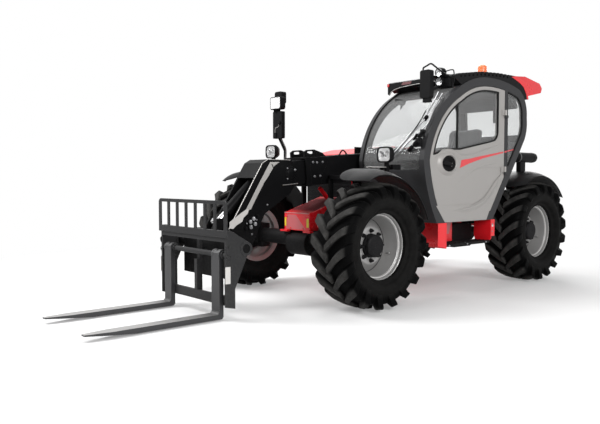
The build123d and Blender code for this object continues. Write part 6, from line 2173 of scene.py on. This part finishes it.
# ------------------------------------------------------------------ studio
@dataclass
class Studio:
    """A pale floor, soft lamps and the camera."""

    eye: Point = (4.565, 5.183, 1.232)
    heading: float = -131.031
    dip: float = -2.846
    lens: float = 39.06

    def build(self) -> None:
        """Make the floor, world, lamps and camera."""
        self.floor()
        self.world()
        focus = ahead(-0.9, 0.0, 0.9)
        self.lamp("key", ahead(4.5, -3.5, 6.0), focus, 3.5, 600.0)
        self.lamp("fill", ahead(1.5, 7.5, 4.2), focus, 4.0, 430.0)
        self.lamp("top", ahead(-1.5, -1.0, 7.0), ahead(-1.5, 0.0, 0.0), 4.5, 330.0)
        self.lamp("back", ahead(-6.5, -2.5, 4.0), focus, 4.0, 260.0)
        self.camera()

    def floor(self) -> None:
        """Lay a wide pale floor that keeps the shadow and shows white."""
        mesh = bpy.data.meshes.new("floor")
        reach = 60.0
        mesh.from_pydata([(-reach, -reach, 0), (reach, -reach, 0), (reach, reach, 0), (-reach, reach, 0)], [],
            [(0, 1, 2, 3)])
        floor = bpy.data.objects.new("floor", mesh)
        bpy.context.scene.collection.objects.link(floor)
        floor.location.z = -0.001
        s = Shader("pale_floor")
        matt = s.surface(Base_Color=(0.8, 0.8, 0.8), Roughness=0.9, Specular_IOR_Level=0.0)
        glow = s.node("ShaderNodeEmission", None, {"Color": (1.0, 1.0, 1.0), "Strength": 1.0})
        path = s.node("ShaderNodeLightPath")
        seen = Signal(s, path.outputs["Is Camera Ray"]).most(Signal(s, path.outputs["Is Transmission Ray"]))
        seen = seen.most(Signal(s, path.outputs["Is Glossy Ray"]))
        across = (s.axis("X") + 0.2).absolute()
        along = s.axis("Y").absolute()
        distance = (across * across + along * along) ** 0.5
        white = 0.25 + 0.75 * distance.step(3.0, 6.0)
        mixed = s.node("ShaderNodeMixShader", None, {0: seen * white, 1: matt.outputs[0], 2: glow.outputs[0]})
        mesh.materials.append(s.done(mixed))

    def world(self) -> None:
        """Light everything a little from all round and show white behind it."""
        world = bpy.data.worlds.new("studio")
        bpy.context.scene.world = world
        world.use_nodes = True
        nodes, links = (world.node_tree.nodes, world.node_tree.links)
        nodes.clear()
        path = nodes.new("ShaderNodeLightPath")
        either = nodes.new("ShaderNodeMath")
        either.operation = "MAXIMUM"
        links.new(path.outputs["Is Camera Ray"], either.inputs[0])
        links.new(path.outputs["Is Transmission Ray"], either.inputs[1])
        shown = nodes.new("ShaderNodeMath")
        shown.operation = "MAXIMUM"
        links.new(either.outputs[0], shown.inputs[0])
        links.new(path.outputs["Is Glossy Ray"], shown.inputs[1])
        dim = nodes.new("ShaderNodeBackground")
        dim.inputs["Color"].default_value = (1, 1, 1, 1)
        dim.inputs["Strength"].default_value = 0.24
        white = nodes.new("ShaderNodeBackground")
        white.inputs["Color"].default_value = (1, 1, 1, 1)
        white.inputs["Strength"].default_value = 1.0
        mixed = nodes.new("ShaderNodeMixShader")
        links.new(shown.outputs[0], mixed.inputs[0])
        links.new(dim.outputs[0], mixed.inputs[1])
        links.new(white.outputs[0], mixed.inputs[2])
        out = nodes.new("ShaderNodeOutputWorld")
        links.new(mixed.outputs[0], out.inputs["Surface"])

    def lamp(self, name: str, place: Vector, towards: Vector, size: float, power: float) -> None:
        """Hang one soft lamp.

        Args:
            name: the lamp's name.
            place: where it hangs.
            towards: what it points at.
            size: its width in metres.
            power: its power in watts.
        """
        data = bpy.data.lights.new(name, "AREA")
        data.shape = "SQUARE"
        data.size = size
        data.energy = power
        made = bpy.data.objects.new(name, data)
        bpy.context.scene.collection.objects.link(made)
        made.location = place
        made.rotation_euler = (towards - place).to_track_quat("-Z", "Y").to_euler()

    def camera(self) -> None:
        """Set the camera at the machine's front left."""
        data = bpy.data.cameras.new("camera")
        data.lens = self.lens
        data.sensor_width = 36.0
        data.sensor_fit = "HORIZONTAL"
        data.clip_end = 200.0
        made = bpy.data.objects.new("camera", data)
        bpy.context.scene.collection.objects.link(made)
        made.location = ahead(*self.eye)
        heading, dip = (math.radians(self.heading), math.radians(self.dip))
        look = Vector((math.cos(dip) * math.cos(heading), math.cos(dip) * math.sin(heading), math.sin(dip)))
        made.rotation_euler = look.to_track_quat("-Z", "Y").to_euler()
        bpy.context.scene.camera = made


# ------------------------------------------------------------------ assembly
NODE_FINISHES: dict[str, str] = {"forks": "fork_steel", "door_glass": "dark_glass", "cab_windows": "dark_glass",
    "lamps": "black_plastic"}


def dress_frame(shop: Workshop) -> None:
    """Give every frame node the finish of its slot, or a finer one."""
    for row in frame["record"]["subparts"]:
        node, slot = (row["node"], row["material_slot"])
        if slot == "tyre":
            continue
        shop.dress(node, NODE_FINISHES.get(node, slot))


def main() -> None:
    """Build the machine's looks in order."""
    logging.basicConfig(level=logging.INFO, format="%(message)s")
    bpy.context.scene.view_settings.view_transform = "Standard"
    Studio().build()
    palette = Palette()
    shop = Workshop(palette)
    dress_frame(shop)
    for number, end in enumerate(End):
        for side in Side:
            Wheel(end, side, shop).build(turn=0.09 + 0.13 * number + 0.07 * side.value)
    for assembly in (Boom(), Carriage(), Nose(), Body(), Cab(), Seat()):
        assembly.build(shop)
    LOG.info("%d pieces", shop.count)


if __name__ == "__main__":
    main()
